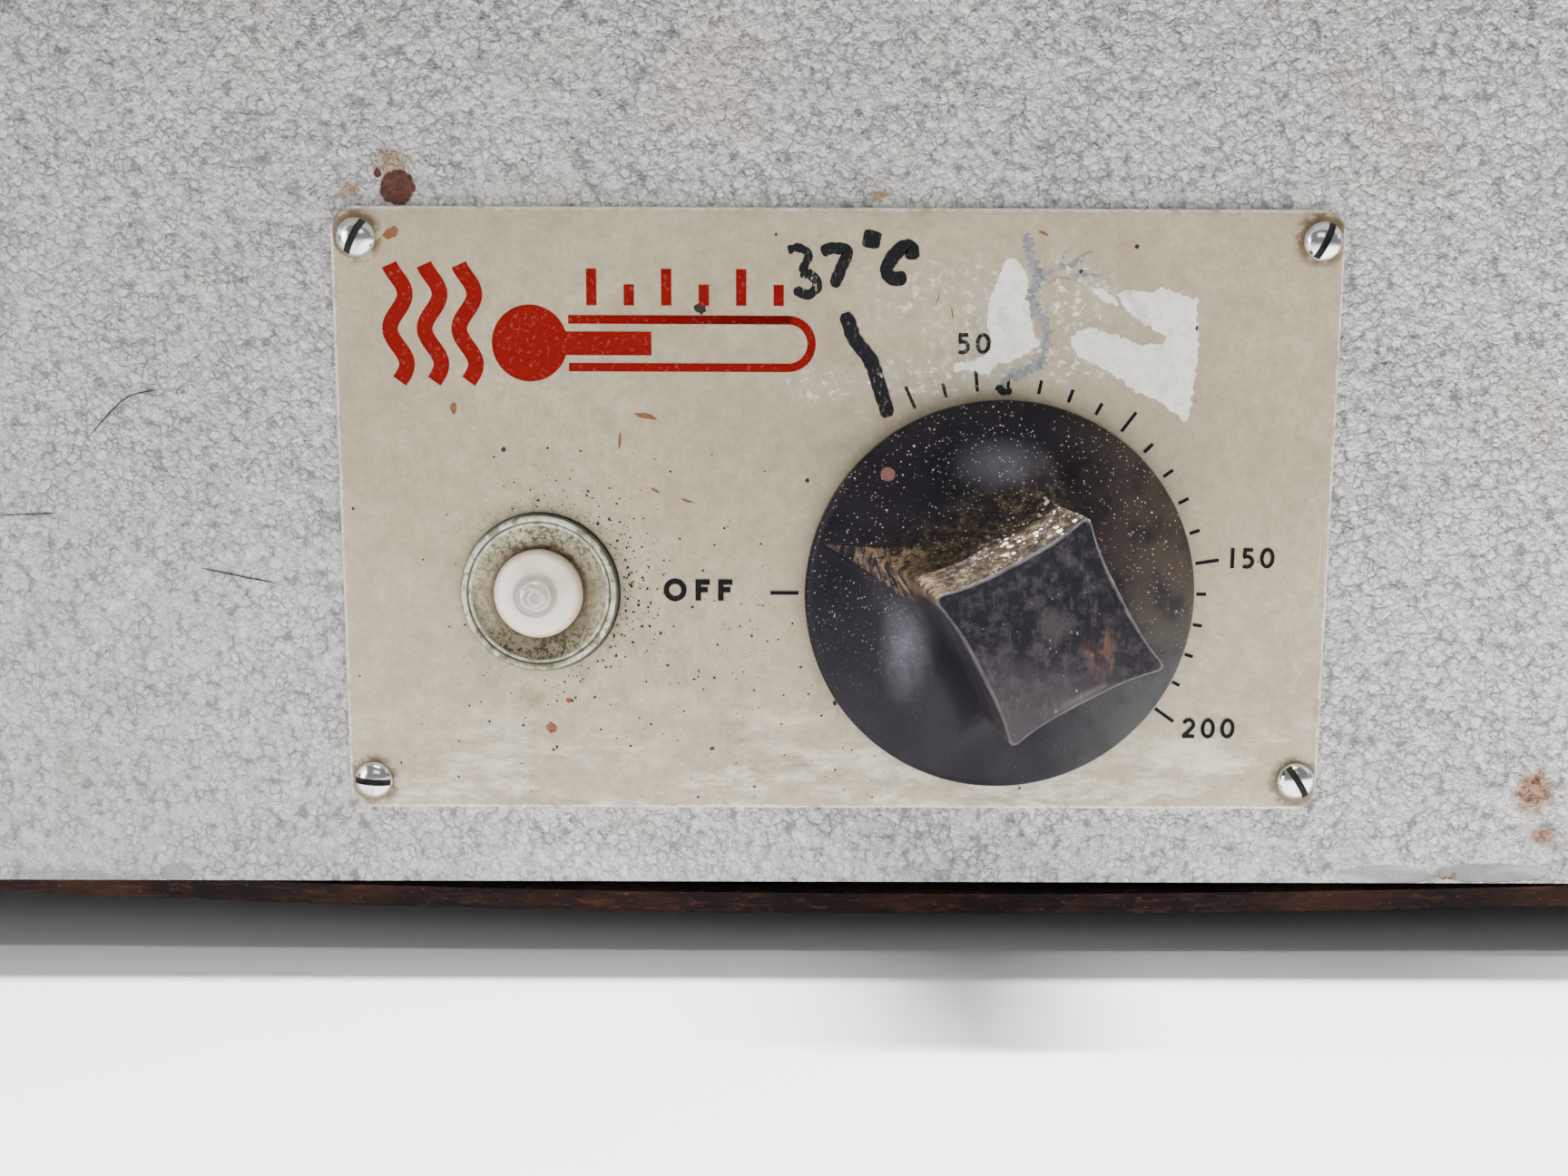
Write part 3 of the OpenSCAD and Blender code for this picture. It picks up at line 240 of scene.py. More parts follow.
def hammered(name, front=False):
    """Silver-grey hammered enamel: pebbled cells, broken dark creases and metal flake."""
    g = Graph(name)
    at = g.warped(0.0011, 0.0016, (1.12, 1, 0.92))
    at2 = g.warped(0.0006, 0.0008)
    pebble = 0.00155
    edge = g.cells(pebble, "DISTANCE_TO_EDGE", at)
    edge2 = g.cells(0.00085, "DISTANCE_TO_EDGE", at2)
    dome = g.cells(pebble, "F1", at)
    blotch = g.noise(0.014, 4, 0.6)
    patchy = g.patch(0.38, 0.62, 0.0032, 3)
    fine = g.patch(0.42, 0.62, 0.0021, 2)
    crease = g.mul(g.step(edge, 0.01, 0.17, 1.0, 0.0), g.line(patchy, 0, 1, 0.12, 0.85))
    crease = g.most(crease, g.mul(g.step(dome, 0.46, 0.74), g.line(fine, 0, 1, 0.35, 0.95)))
    crease2 = g.mul(g.step(edge2, 0.02, 0.20, 1.0, 0.0), g.mul(fine, 0.55))
    net = g.most(crease, crease2)
    tone = g.ramp(blotch, (0.3, (0.40, 0.385, 0.36)), (0.5, (0.49, 0.475, 0.445)),
                  (0.72, (0.57, 0.555, 0.52)))
    own = g.split(g.cells(pebble, "F1", at, True))[0]
    tone = g.over(tone, own, 0.46, (0.86, 0.85, 0.83))
    flake = g.patch(0.45, 0.65, 0.0006, 3, 0.7)
    tone = g.over(tone, flake, 0.45, (0.24, 0.235, 0.24))
    colour = g.mix(g.mul(net, 0.86), tone, (0.075, 0.072, 0.080))
    grime = g.patch(0.56, 0.76, 0.035, 5, 0.65)
    colour = g.over(colour, grime, 0.30, (0.40, 0.34, 0.25))
    fly = g.specks(0.010, 0.90, 0.040)
    colour = g.over(colour, fly, 0.7, (0.10, 0.08, 0.06))
    rough = g.line(g.noise(0.004, 3), 0.3, 0.7, 0.40, 0.58)
    height = g.add(g.mul(g.step(dome, 0.15, 0.80, 1.0, 0.0), 1.1),
                   g.mul(g.step(edge2, 0.0, 0.30), 0.35))
    height = g.add(height, g.mul(g.noise(0.0007, 2), 0.3))
    if front:
        # bare primer and rust on this one sheet's front
        halo = g.spots(
            (-64.0, 50.4, 3.6, 3.0, 0.7, 0.55, 2), (-70.5, 46.6, 1.9, 1.6, 0.6, 0.6, 1.5),
            (5.8, 46.3, 2.2, 0.7, 0.5, 0.5, 1))
        colour = g.over(colour, halo, 0.85, (0.20, 0.125, 0.055))
        rust = g.spots(
            (-63.6, 47.0, 2.75, 2.6, 0.12, 0.30, 1.2), (-66.3, 49.0, 0.6, 0.8, 0.2, 0.5, 0.8))
        runs = g.spots(
            (106.6, -41.7, 3.8, 4.4, 0.55, 0.62, 2), (108.7, -48.8, 2.6, 2.0, 0.6, 0.6, 2),
            (94.5, -54.9, 2.6, 1.3, 0.5, 0.5, 1))
        colour = g.over(colour, runs, 0.85, (0.24, 0.115, 0.045))
        core = g.mul(g.step(runs, 0.6, 1.0), g.patch(0.48, 0.6, 0.0013, 3))
        # grey primer where the enamel has chipped off the lower edge
        low = g.step(g.z, EDGE_Z + 1.1 * MM, EDGE_Z + 2.4 * MM, 1.0, 0.0)
        chip = g.mul(g.step(g.add(g.noise(0.0022, 4, 0.6), g.mul(low, 0.10)), 0.53, 0.56), low)
        where = g.spots(
            (84.6, -55.0, 7.6, 1.7, 0.1, 0.25, 2), (101.0, -54.6, 9.5, 1.6, 0.1, 0.25, 2),
            (-100.6, -55.1, 2.7, 1.5, 0.1, 0.3, 1.5))
        chip = g.most(where, g.mul(chip, g.patch(0.58, 0.66, 0.05, 1)))
        colour = g.over(colour, chip, 0.9, (0.15, 0.155, 0.145))
        colour = g.over(colour, core, 0.85, (0.085, 0.026, 0.009))
        scab = g.ramp(g.noise(0.0009, 4, 0.7), (0.35, (0.030, 0.009, 0.005)),
                      (0.62, (0.085, 0.026, 0.012)))
        colour = g.mix(rust, colour, scab)
        # a paler, streaky band along the lower edge: painted highlight of the sheet's rounded edge
        painted_edge_highlight = g.mul(g.step(g.z, EDGE_Z + 2 * MM, EDGE_Z + 10 * MM, 1.0, 0.0),
                     g.patch(0.45, 0.65, 0.004, 4, 0.6, g.scaled((0.25, 1, 1))))
        colour = g.over(colour, painted_edge_highlight, 0.30, (0.66, 0.66, 0.65))
        flat = g.most(rust, chip)
        height = g.mul(height, g.sub(1.0, g.mul(flat, 0.85)))
        height = g.add(height, g.mul(g.mul(rust, g.noise(0.0006, 3)), 0.9))
        rough = g.add(rough, g.mul(rust, 0.3))
    g.set(Base_Color=colour, Roughness=rough, Metallic=0.30,
          Normal=g.bump(height, 0.00036, 1.0))
    return g.mat


def panel_enamel():
    """Cream-grey enamelled plate, with stains, scuffs, glue marks and a pale worn edge."""
    g = Graph("panel_enamel_worn")
    m = MM
    X, Z = PANEL_X, PANEL_Z
    tone = g.ramp(g.noise(0.030, 4, 0.6), (0.3, (0.350, 0.292, 0.192)),
                  (0.7, (0.435, 0.372, 0.252)))
    grain = g.noise(0.00065, 3, 0.7)
    colour = g.mix(g.line(grain, 0.32, 0.68, 0.0, 0.45), tone, (0.20, 0.165, 0.11))
    mottle = g.patch(0.47, 0.70, 0.007, 6, 0.72)
    colour = g.over(colour, mottle, 0.50, (0.235, 0.185, 0.115))
    cloud = g.noise(0.0022, 5, 0.75)
    colour = g.mix(g.line(cloud, 0.38, 0.64, 0.0, 0.50), colour, (0.21, 0.17, 0.11))
    drops = g.mul(g.specks(0.009, 0.55, 0.11, g.warped(0.002, 0.0012)),
                  g.patch(0.45, 0.6, 0.02, 2))
    colour = g.over(colour, drops, 0.45, (0.22, 0.145, 0.05))
    # faint brown smears low on the left and round the lamp
    smear = g.mul(g.patch(0.47, 0.64, 0.009, 5, 0.78),
                  g.spots((-38, -24, 26, 15, 0.9, 0.3, 10), (-5, -30, 28, 12, 0.9, 0.3, 10)))
    colour = g.over(colour, smear, 0.80, (0.17, 0.125, 0.07))
    foot = g.step(g.z, Z - 42 * m, Z - 22 * m, 1.0, 0.0)
    rub = g.patch(0.46, 0.66, 0.005, 6, 0.75, g.scaled((0.35, 1, 1)))
    colour = g.over(colour, g.mul(foot, rub), 0.75, (0.66, 0.61, 0.51))
    wipe = g.patch(0.54, 0.70, 0.008, 6, 0.75, g.scaled((0.3, 1, 1.6)))
    colour = g.over(colour, g.mul(foot, wipe), 0.8, (0.14, 0.10, 0.055))
    # painted shadow round the bezel, heavier to its upper right, with dirt specks in it; dirt round
    # the screws and under the knob's rim
    near = g.vec("DISTANCE", g.co, tuple(on_panel(*LAMP_MM)))
    pepper = g.patch(0.54, 0.60, 0.00045, 4, 0.8)
    # ring: a painted shadow at the bezel's foot, with dirt specks scattered through it
    ring = g.most(g.step(near, 0.0114, 0.0124, 0.8, 0.0),
                  g.mul(g.step(near, 0.0116, 0.0155, 1.0, 0.0), pepper))
    # the painted shadow weighs towards the bezel's upper right
    toward_shadow = g.add(g.sub(g.x, X + LAMP_MM[0] * m), g.sub(g.z, Z + LAMP_MM[1] * m))
    ring = g.mul(ring, g.step(toward_shadow, -10 * m, 6 * m, 0.15, 1.0))
    kn = g.vec("DISTANCE", g.co, (KNOB_X, PANEL_Y, KNOB_Z))
    rim = g.mul(g.step(kn, 0.0280, 0.0302, 1.0, 0.0),
                g.line(g.noise(0.002, 4), 0.3, 0.7, 0.2, 0.85))
    colour = g.over(colour, ring, 0.85, (0.045, 0.038, 0.022))
    colour = g.over(colour, rim, 0.55, (0.17, 0.15, 0.11))
    sx = g.sub(g.math("ABSOLUTE", g.sub(g.x, X)), SCREW_AX * m)
    sz = g.sub(g.math("ABSOLUTE", g.sub(g.z, Z)), SCREW_AZ * m)
    sd = g.math("SQRT", g.add(g.mul(sx, sx), g.mul(sz, sz)))
    stain = g.mul(g.step(sd, 3.2 * m, 4.6 * m, 1.0, 0.0),
                  g.patch(0.38, 0.52, 0.0022, 5, 0.7))
    stain = g.most(stain, g.step(sd, 3.0 * m, 3.5 * m, 0.9, 0.0))
    colour = g.over(colour, stain, 0.92, (0.075, 0.042, 0.016))
    # glue and paper fibre left where a label was scraped off
    glue = g.spots((14, 20.5, 17, 3.6, 0.5, 0.75, 4), (32, 23, 12, 5.5, 0.6, 0.7, 4),
                   (-3, 19, 6, 3.2, 0.5, 0.8, 3), (24, 31, 26, 10, 0.8, 0.9, 8))
    fibre = g.patch(0.52, 0.64, 0.0013, 5, 0.75)
    colour = g.over(colour, g.mul(glue, fibre), 0.85, (0.76, 0.73, 0.66))
    film = g.mul(glue, g.patch(0.40, 0.60, 0.005, 3))
    colour = g.over(colour, film, 0.25, (0.40, 0.37, 0.33))
    # scratches and fly specks
    long = g.sub(g.noise(0.010, 1, 0.5, g.scaled((1.0, 1, 0.12)), 1.2), 0.5)
    scratch = g.mul(g.step(g.math("ABSOLUTE", long), 0.0, 0.0022, 1.0, 0.0),
                    g.patch(0.5, 0.6, 0.02, 1))
    colour = g.over(colour, scratch, 0.3, (0.70, 0.68, 0.62))
    fly = g.most(g.specks(0.0034, 0.86, 0.060), g.specks(0.0075, 0.80, 0.035))
    fly2 = g.mul(g.specks(0.0010, 0.62, 0.14),
                 g.spots((-22, -17, 16, 13, 0.9, 0.4, 6), (-10, -35, 40, 7, 0.9, 0.4, 6)))
    colour = g.over(colour, g.most(fly, fly2), 0.75, (0.09, 0.065, 0.04))
    # the rubbed edge shows paler undercoat, chipped here and there
    ex = g.sub(PANEL_W / 2, g.math("ABSOLUTE", g.sub(g.x, X)))
    ez = g.sub(PANEL_H / 2, g.math("ABSOLUTE", g.sub(g.z, Z)))
    e = g.add(g.math("MINIMUM", ex, ez), g.mul(g.sub(g.noise(0.0012, 4, 0.7), 0.5), 0.0011))
    worn = g.step(e, 0.00018, 0.00062, 1.0, 0.0)
    colour = g.over(colour, worn, 0.85, (0.70, 0.68, 0.60))
    dark = g.mul(g.step(e, 0.0004, 0.0016, 1.0, 0.0), g.patch(0.56, 0.66, 0.003, 4))
    colour = g.over(colour, dark, 0.45, (0.13, 0.105, 0.08))
    rough = g.line(g.noise(0.01, 4), 0.3, 0.7, 0.36, 0.52)
    rough = g.add(rough, g.mul(glue, 0.12))
    height = g.add(g.mul(g.noise(0.0016, 3), 0.4), g.mul(g.mul(glue, fibre), 0.9))
    height = g.sub(height, g.mul(fly, 0.4))
    g.set(Base_Color=colour, Roughness=rough, Normal=g.bump(height, 0.00004, 0.6))
    return g.mat


def printed(name, ink, wear_to, amount=0.35, grain=0.0007):
    """Printed ink with small worn-through flecks."""
    g = Graph(name)
    fleck = g.patch(0.60 - amount * 0.2, 0.66, grain, 4, 0.7)
    edge = g.line(g.noise(0.004, 3), 0.3, 0.7, 0.0, 0.3)
    tone = g.mix(edge, ink, tuple(c * 0.72 for c in ink))
    g.set(Base_Color=g.mix(g.mul(fleck, amount), tone, wear_to), Specular_IOR_Level=0.05,
          Roughness=g.line(g.noise(0.002, 3), 0.3, 0.7, 0.42, 0.6))
    return g.mat


def marker_ink():
    """Black felt pen: dense, with dry streaks along the stroke."""
    g = Graph("marker_ink")
    streak = g.patch(0.57, 0.68, 0.0006, 4, 0.7, g.scaled((1.0, 1, 0.45)))
    dry = g.spots((-5.0, 35.0, 2.9, 4.4, 0.5, 0.3, 3), (6.4, 18, 1.6, 4, 0.5, 0.3, 3))
    amount = g.mul(streak, g.line(dry, 0, 1, 0.12, 0.95))
    g.set(Base_Color=g.mix(amount, (0.004, 0.004, 0.005), (0.48, 0.44, 0.36)),
          Specular_IOR_Level=0.2, Roughness=g.line(streak, 0, 1, 0.4, 0.65),
          Normal=g.bump(streak, 0.00003, 0.5))
    return g.mat


def paper():
    """Torn paper label: soft white fibre with grey-mauve print smears."""
    g = Graph("torn_paper")
    smear = g.mul(g.patch(0.50, 0.66, 0.0032, 5, 0.7),
                  g.patch(0.36, 0.55, 0.009, 2))
    tone = g.ramp(g.noise(0.0014, 5, 0.75), (0.3, (0.80, 0.74, 0.64)), (0.58, (1.0, 0.97, 0.90)))
    tone = g.over(tone, smear, 0.5, (0.36, 0.33, 0.335))
    height = g.add(g.noise(0.0009, 6, 0.8), g.mul(g.noise(0.003, 3), 1.5))
    g.set(Base_Color=tone, Roughness=0.92, Normal=g.bump(height, 0.00022, 0.9))
    return g.mat


def grey_glue():
    """Grey-mauve glue left in a torn line."""
    g = Graph("grey_glue")
    tone = g.ramp(g.noise(0.0011, 4, 0.7), (0.3, (0.075, 0.08, 0.09)), (0.7, (0.25, 0.255, 0.27)))
    g.set(Base_Color=tone, Roughness=0.7, Normal=g.bump(g.noise(0.0007, 4), 0.0001, 0.7))
    return g.mat


def bakelite():
    """Black moulding: handled gloss, pale dust on what faces up, a scratched-in arrow."""
    g = Graph("bakelite_worn")
    m = MM
    colour = g.ramp(g.noise(0.009, 4, 0.6), (0.3, (0.0042, 0.0036, 0.0060)),
                    (0.7, (0.014, 0.0115, 0.0155)))
    up = g.split(g.coord.outputs["Normal"])[2]
    dx, dz = g.sub(g.x, KNOB_X), g.sub(g.z, KNOB_Z)

    def layer(name):
        n = g.tree.nodes.new("ShaderNodeAttribute")
        n.attribute_name = name
        return n.outputs["Fac"]

    grip, wear, face = layer("grip"), layer("wear"), layer("face")
    # painted highlights: a pale patch above the grip and one down its left side, in place of soft
    # reflections
    painted_highlight = g.most(
        g.spot(KNOB_X - 0.5 * m, KNOB_Z + 19.0 * m, 9 * m, 5.0 * m, 0.98, 0.25, 0.003),
        g.mul(g.spot(KNOB_X - 14.0 * m, KNOB_Z - 7 * m, 4.5 * m, 10 * m, 0.98, 0.25, 0.004), 0.9))
    painted_highlight = g.mul(painted_highlight, g.line(g.noise(0.0015, 4, 0.7), 0.3, 0.7, 0.5, 1.0))
    colour = g.over(colour, painted_highlight, 0.62, (0.135, 0.13, 0.155))
    # dusty film: brown to the right of the skirt, grey-green low on the right
    side = g.mul(g.step(dx, 4 * m, 24 * m), g.patch(0.2, 0.6, 0.006, 4))
    film = g.mix(g.step(dz, -14 * m, 0.0), (0.050, 0.052, 0.048), (0.050, 0.039, 0.028))
    colour = g.over(colour, g.mul(side, g.sub(1.0, grip)), 0.75, film)
    # brown dust bedded on the grip's upper side and in its foot
    above = g.step(up, 0.10, 0.60)
    bed = g.mul(g.mul(above, g.sub(1.0, face)), g.patch(0.28, 0.56, 0.0042, 4, 0.6))
    bed = g.mul(bed, g.line(grip, 0, 1, 0.12, 1.0))
    deep = g.scaled((1, 0.35, 1))
    dust = g.ramp(g.noise(0.0014, 5, 0.85, deep), (0.42, (0.010, 0.007, 0.005)),
                  (0.54, (0.048, 0.034, 0.019)), (0.66, (0.21, 0.165, 0.11)))
    colour = g.over(colour, bed, 0.92, dust)
    # loose white flecks, thick at the grip's upper corner and sown over the skirt's upper half
    sow = g.step(dz, -16 * m, 16 * m, 0.05, 1.0)
    fleck = g.most(g.specks(0.00050, 0.30, 0.22), g.specks(0.0008, 0.45, 0.17))
    fleck = g.most(fleck, g.specks(0.0019, 0.66, 0.10))
    flock = g.mul(fleck, g.step(g.noise(0.0045, 4, 0.6), 0.33, 0.55, 0.15, 1.0))
    flock = g.mul(flock, g.mul(sow, g.sub(1.0, g.mul(face, 0.9))))
    flock = g.mul(flock, g.sub(1.0, g.mul(grip, g.sub(1.0, above))))
    near = g.vec("DISTANCE", g.co, (KNOB_X + 6.0 * m, PANEL_Y - 27 * m, KNOB_Z + 14 * m))
    grain = g.most(g.specks(0.0008, 0.10, 0.38, deep), g.specks(0.0013, 0.22, 0.36, deep))
    clump = g.mul(grain, g.patch(0.42, 0.52, 0.0022, 4, 0.7, deep))
    heap = g.mul(g.step(near, 0.005, 0.019, 1.0, 0.0),
                 g.mul(g.mul(above, g.sub(1.0, face)), clump))
    colour = g.over(colour, flock, 0.92, (0.50, 0.45, 0.37))
    colour = g.over(colour, heap, 0.95, (0.84, 0.80, 0.72))
    light = g.most(flock, heap)
    # the front face: black above, a painted reflection below (lighter grey towards the bottom), tan
    # scuffs to the right
    reflection_height = g.add(dz, g.mul(g.sub(g.noise(0.004, 4, 0.6), 0.5), 12 * m))
    low = g.step(reflection_height, -12 * m, 0.5 * m, 1.0, 0.0)
    blot = g.patch(0.47, 0.60, 0.0024, 5, 0.75)
    colour = g.mix(face, colour, g.mix(blot, (0.0030, 0.0026, 0.0042), (0.016, 0.0135, 0.0165)))
    # the grey low on the face is a painted reflection of the bench
    colour = g.over(colour, face, g.mul(low, 0.8), (0.034, 0.028, 0.031))
    cloud = g.spot(KNOB_X + 0.5 * m, KNOB_Z + 0.8 * m, 2.6 * m, 3.2 * m, 0.8, 0.6, 0.002)
    colour = g.over(colour, g.mul(face, cloud), 0.35, (0.055, 0.044, 0.045))
    tan = g.spot(KNOB_X + 6.3 * m, KNOB_Z - 1.5 * m, 3.0 * m, 5.0 * m, 0.9, 0.6, 0.002)
    tan = g.mul(tan, g.patch(0.44, 0.62, 0.0012, 4, 0.7, g.scaled((1.0, 1, 0.4))))
    colour = g.over(colour, g.mul(face, tan), 0.55, (0.085, 0.042, 0.026))
    hatch = g.patch(0.52, 0.66, 0.0008, 5, 0.8, g.scaled((1.0, 1, 0.30)))
    colour = g.over(colour, g.mul(face, hatch), 0.30, (0.055, 0.047, 0.050))
    grit = g.most(g.specks(0.0008, 0.62, 0.14, g.scaled((1.0, 1, 0.6))),
                  g.specks(0.0021, 0.72, 0.07, g.scaled((1.0, 1, 0.7))))
    colour = g.over(colour, g.mul(face, grit), 0.6, (0.17, 0.135, 0.10))
    # the arrow: a triangle that narrows to the rim, scratched and filled with tan dirt
    a = math.radians(ARROW)
    u = g.add(g.mul(dx, math.cos(a)), g.mul(dz, math.sin(a)))
    v = g.sub(g.mul(dz, math.cos(a)), g.mul(dx, math.sin(a)))
    spread = g.mul(g.sub(27.2 * m, u), 0.26)
    away = g.sub(g.math("ABSOLUTE", v), spread)
    reach = g.step(u, 12.0 * m, 14.5 * m)
    rough_edge = g.add(away, g.mul(g.sub(g.noise(0.001, 3), 0.5), 0.0016))
    inside = g.mul(g.step(rough_edge, -0.0004, 0.0002, 1.0, 0.0), reach)
    outline = g.mul(g.step(g.math("ABSOLUTE", away), 0.00006, 0.00018, 1.0, 0.0),
                    g.step(u, 17 * m, 20 * m))
    scr = g.patch(0.44, 0.60, 0.0010, 5, 0.75, g.scaled((1.0, 1, 0.22)), 0.4)
    fill = g.mul(g.mul(g.mul(inside, scr), g.sub(1.0, face)),
                 g.step(u, 16.0 * m, 27.0 * m, 1.0, 0.35))
    colour = g.over(colour, fill, 0.9, (0.20, 0.13, 0.075))
    colour = g.over(colour, outline, 0.85, (0.003, 0.002, 0.002))
    # a dab of pink paint by the rim
    b, out = math.radians(133.2), 24.3 * m
    dab = g.spot(KNOB_X + out * math.cos(b), KNOB_Z + out * math.sin(b), 1.1 * m, 1.05 * m,
                 0.12, 0.12, 0.0008)
    thin = g.line(g.noise(0.0005, 3), 0.2, 0.8, 0.6, 1.0)
    colour = g.over(colour, dab, thin, (0.19, 0.085, 0.072))
    # arrises rubbed grey
    rub = g.mul(g.step(wear, 0.2, 0.8), g.line(g.noise(0.0022, 4), 0.30, 0.60, 0.25, 1.0))
    colour = g.over(colour, rub, 0.5, (0.095, 0.09, 0.098))
    rough = g.line(g.noise(0.006, 4), 0.3, 0.7, 0.30, 0.42)
    rough = g.add(rough, g.mul(g.most(bed, light), 0.5))
    rough = g.add(rough, g.mul(face, 0.12))
    height = g.add(g.mul(g.most(light, fill), 0.6), g.mul(g.noise(0.0005, 3), 0.2))
    height = g.sub(height, g.mul(outline, 1.2))
    g.set(Base_Color=colour, Roughness=rough, Specular_IOR_Level=0.10,
          Normal=g.bump(height, 0.00008, 0.7))
    return g.mat


def metal(name, colour, rough=(0.2, 0.35), pits=0.3, pit_colour=(0.10, 0.08, 0.05), brush=None,
          pit_size=0.0012):
    """Bare or plated metal: brushed or polished, with pits and clouding."""
    g = Graph(name)
    cloud = g.noise(0.012, 4, 0.6)
    tone = g.mix(g.line(cloud, 0.3, 0.7, 0.0, 0.35), colour, tuple(c * 0.74 for c in colour))
    pit = g.mul(g.patch(0.60, 0.70, pit_size, 4, 0.75),
                g.patch(0.42, 0.62, 0.009, 3))
    tone = g.over(tone, pit, pits, pit_colour)
    height = g.mul(pit, -0.5)
    r = g.line(g.noise(0.006, 4), 0.3, 0.7, *rough)
    if brush:
        lines = g.noise(0.0006, 3, 0.6, g.scaled(brush))
        height = g.add(height, g.mul(lines, 0.8))
        r = g.add(r, g.line(lines, 0.3, 0.7, -0.05, 0.08))
    g.set(Base_Color=tone, Metallic=1.0, Roughness=g.add(r, g.mul(pit, 0.3)),
          Normal=g.bump(height, 0.00002, 0.6))
    return g.mat


def plain(name, colour, dark, rough, size=0.002, depth=0.00005, detail=4, stretch=None):
    """Moulded, fired, fibrous or rubbery surfaces."""
    g = Graph(name)
    at = g.scaled(stretch) if stretch else None
    fine = g.noise(size, detail, 0.65, at)
    tone = g.ramp(fine, (0.32, dark), (0.66, colour))
    tone = g.mix(g.line(g.noise(0.02, 4), 0.35, 0.7, 0.0, 0.35), tone, dark)
    g.set(Base_Color=tone, Roughness=g.line(fine, 0.3, 0.7, rough, min(1.0, rough + 0.12)),
          Metallic=0.0, Normal=g.bump(fine, depth, 0.8))
    return g.mat


def hardboard():
    """Brown pressed fibre: long fibres on the cut edge, rusty and dark streaks."""
    g = Graph("hardboard_brown")
    fibre = g.noise(0.0011, 6, 0.75, g.scaled((0.22, 0.5, 1.6)), 0.8)
    tone = g.ramp(fibre, (0.38, (0.002, 0.001, 0.0008)), (0.54, (0.007, 0.0026, 0.0018)),
                  (0.70, (0.060, 0.024, 0.015)))
    patch = g.patch(0.42, 0.68, 0.012, 4, 0.6, g.scaled((0.6, 1, 1)))
    tone = g.over(tone, patch, 0.32, (0.060, 0.018, 0.009))
    lip = g.patch(0.60, 0.70, 0.0006, 4, 0.7, g.scaled((0.4, 1, 1)))
    tone = g.over(tone, lip, 0.45, (0.19, 0.11, 0.08))
    g.set(Base_Color=tone, Roughness=0.9, Specular_IOR_Level=0.2,
          Normal=g.bump(fibre, 0.00028, 0.9))
    return g.mat


def bezel_metal():
    """Nickel-plated brass gone grey-green, peppered with corrosion, the pepper thicker above the
    lens as painted shadow.
    """
    g = Graph("bezel_corroded")
    r = g.vec("DISTANCE", g.scaled((1, 0, 1)), (LAMP_X, 0, LAMP_Z))
    pepper = g.most(g.patch(0.505, 0.55, 0.0008, 5, 0.85),
                    g.patch(0.54, 0.58, 0.0017, 6, 0.85))
    # the pepper thickens above the lens, partly corrosion and partly the lens's painted shadow, and
    # below it
    dense = g.most(g.step(g.z, LAMP_Z + 1 * MM, LAMP_Z + 9 * MM, 0.45, 0.85),
                   g.step(g.z, LAMP_Z - 9 * MM, LAMP_Z - 3 * MM, 1.0, 0.45))
    tone = g.ramp(g.noise(0.003, 4), (0.3, (0.19, 0.17, 0.10)), (0.7, (0.36, 0.335, 0.23)))
    tone = g.mix(g.step(r, 0.0066, 0.0090, 0.75, 0.0), tone, (0.13, 0.085, 0.04))
    low = g.step(g.sub(g.z, LAMP_Z), -9 * MM, -3 * MM, 0.55, 0.0)
    tone = g.mix(low, tone, (0.13, 0.095, 0.05))
    tone = g.over(tone, pepper, dense, (0.022, 0.018, 0.008))
    bright = g.mul(g.step(r, 0.0098, 0.0101), g.line(g.noise(0.0016, 4), 0.35, 0.65, 0.2, 1.0))
    tone = g.mix(bright, tone, (0.62, 0.62, 0.52))
    groove = g.most(g.step(g.math("ABSOLUTE", g.sub(r, 0.01045)), 0.00006, 0.0002, 1.0, 0.0),
                    g.step(r, BEZEL_R - 0.00045, BEZEL_R - 0.0001))
    tone = g.over(tone, groove, 0.85, (0.03, 0.03, 0.014))
    green = g.mul(g.patch(0.50, 0.60, 0.0012, 4), g.step(r, 0.0096, 0.0104))
    tone = g.over(tone, green, 0.75, (0.075, 0.085, 0.03))
    g.set(Base_Color=tone, Metallic=0.6, Roughness=g.line(g.noise(0.002, 4), 0.3, 0.7, 0.28, 0.5),
          Normal=g.bump(g.add(pepper, g.noise(0.0009, 3)), 0.00003, 0.7))
    return g.mat


def lens_milk():
    """The lamp's white plastic: yellowed at its rim, with grit on its upper half."""
    g = Graph("lens_milky")
    r = g.vec("DISTANCE", g.scaled((1, 0, 1)), (LAMP_X, 0, LAMP_Z))
    tone = g.ramp(g.noise(0.0035, 4, 0.6), (0.3, (0.80, 0.70, 0.55)),
                  (0.65, (0.95, 0.88, 0.75)))
    tone = g.mix(g.step(r, 0.0054, 0.0066), tone, (0.46, 0.37, 0.29))
    grit = g.mul(g.specks(0.0006, 0.88, 0.16), g.step(g.z, LAMP_Z, LAMP_Z + 4 * MM))
    tone = g.over(tone, grit, 0.6, (0.20, 0.14, 0.10))
    g.set(Base_Color=tone, Roughness=0.28, Subsurface_Weight=0.25, Subsurface_Scale=0.002,
          Coat_Weight=0.3, Normal=g.bump(g.noise(0.0012, 3), 0.00003, 0.5))
    return g.mat


def clear_tip():
    """The lamp's clear bulb end."""
    g = Graph("lens_clear")
    g.set(Base_Color=g.mix(g.noise(0.002, 2), (0.92, 0.87, 0.79), (0.99, 0.97, 0.93)),
          Roughness=0.04, Transmission_Weight=0.78, IOR=1.25, Coat_Weight=1.0, Coat_Roughness=0.03,
          Normal=g.bump(g.noise(0.0016, 2), 0.00005, 0.4))
    return g.mat


def bench_top():
    """A pale, faintly uneven bench."""
    g = Graph("bench_pale")
    fine = g.noise(0.004, 4)
    faint = g.noise(0.18, 3)
    tone = g.ramp(faint, (0.3, (0.80, 0.80, 0.805)), (0.7, (0.84, 0.84, 0.845)))
    g.set(Base_Color=tone, Roughness=g.line(fine, 0.3, 0.7, 0.30, 0.38),
          Normal=g.bump(fine, 0.00001, 0.3))
    return g.mat


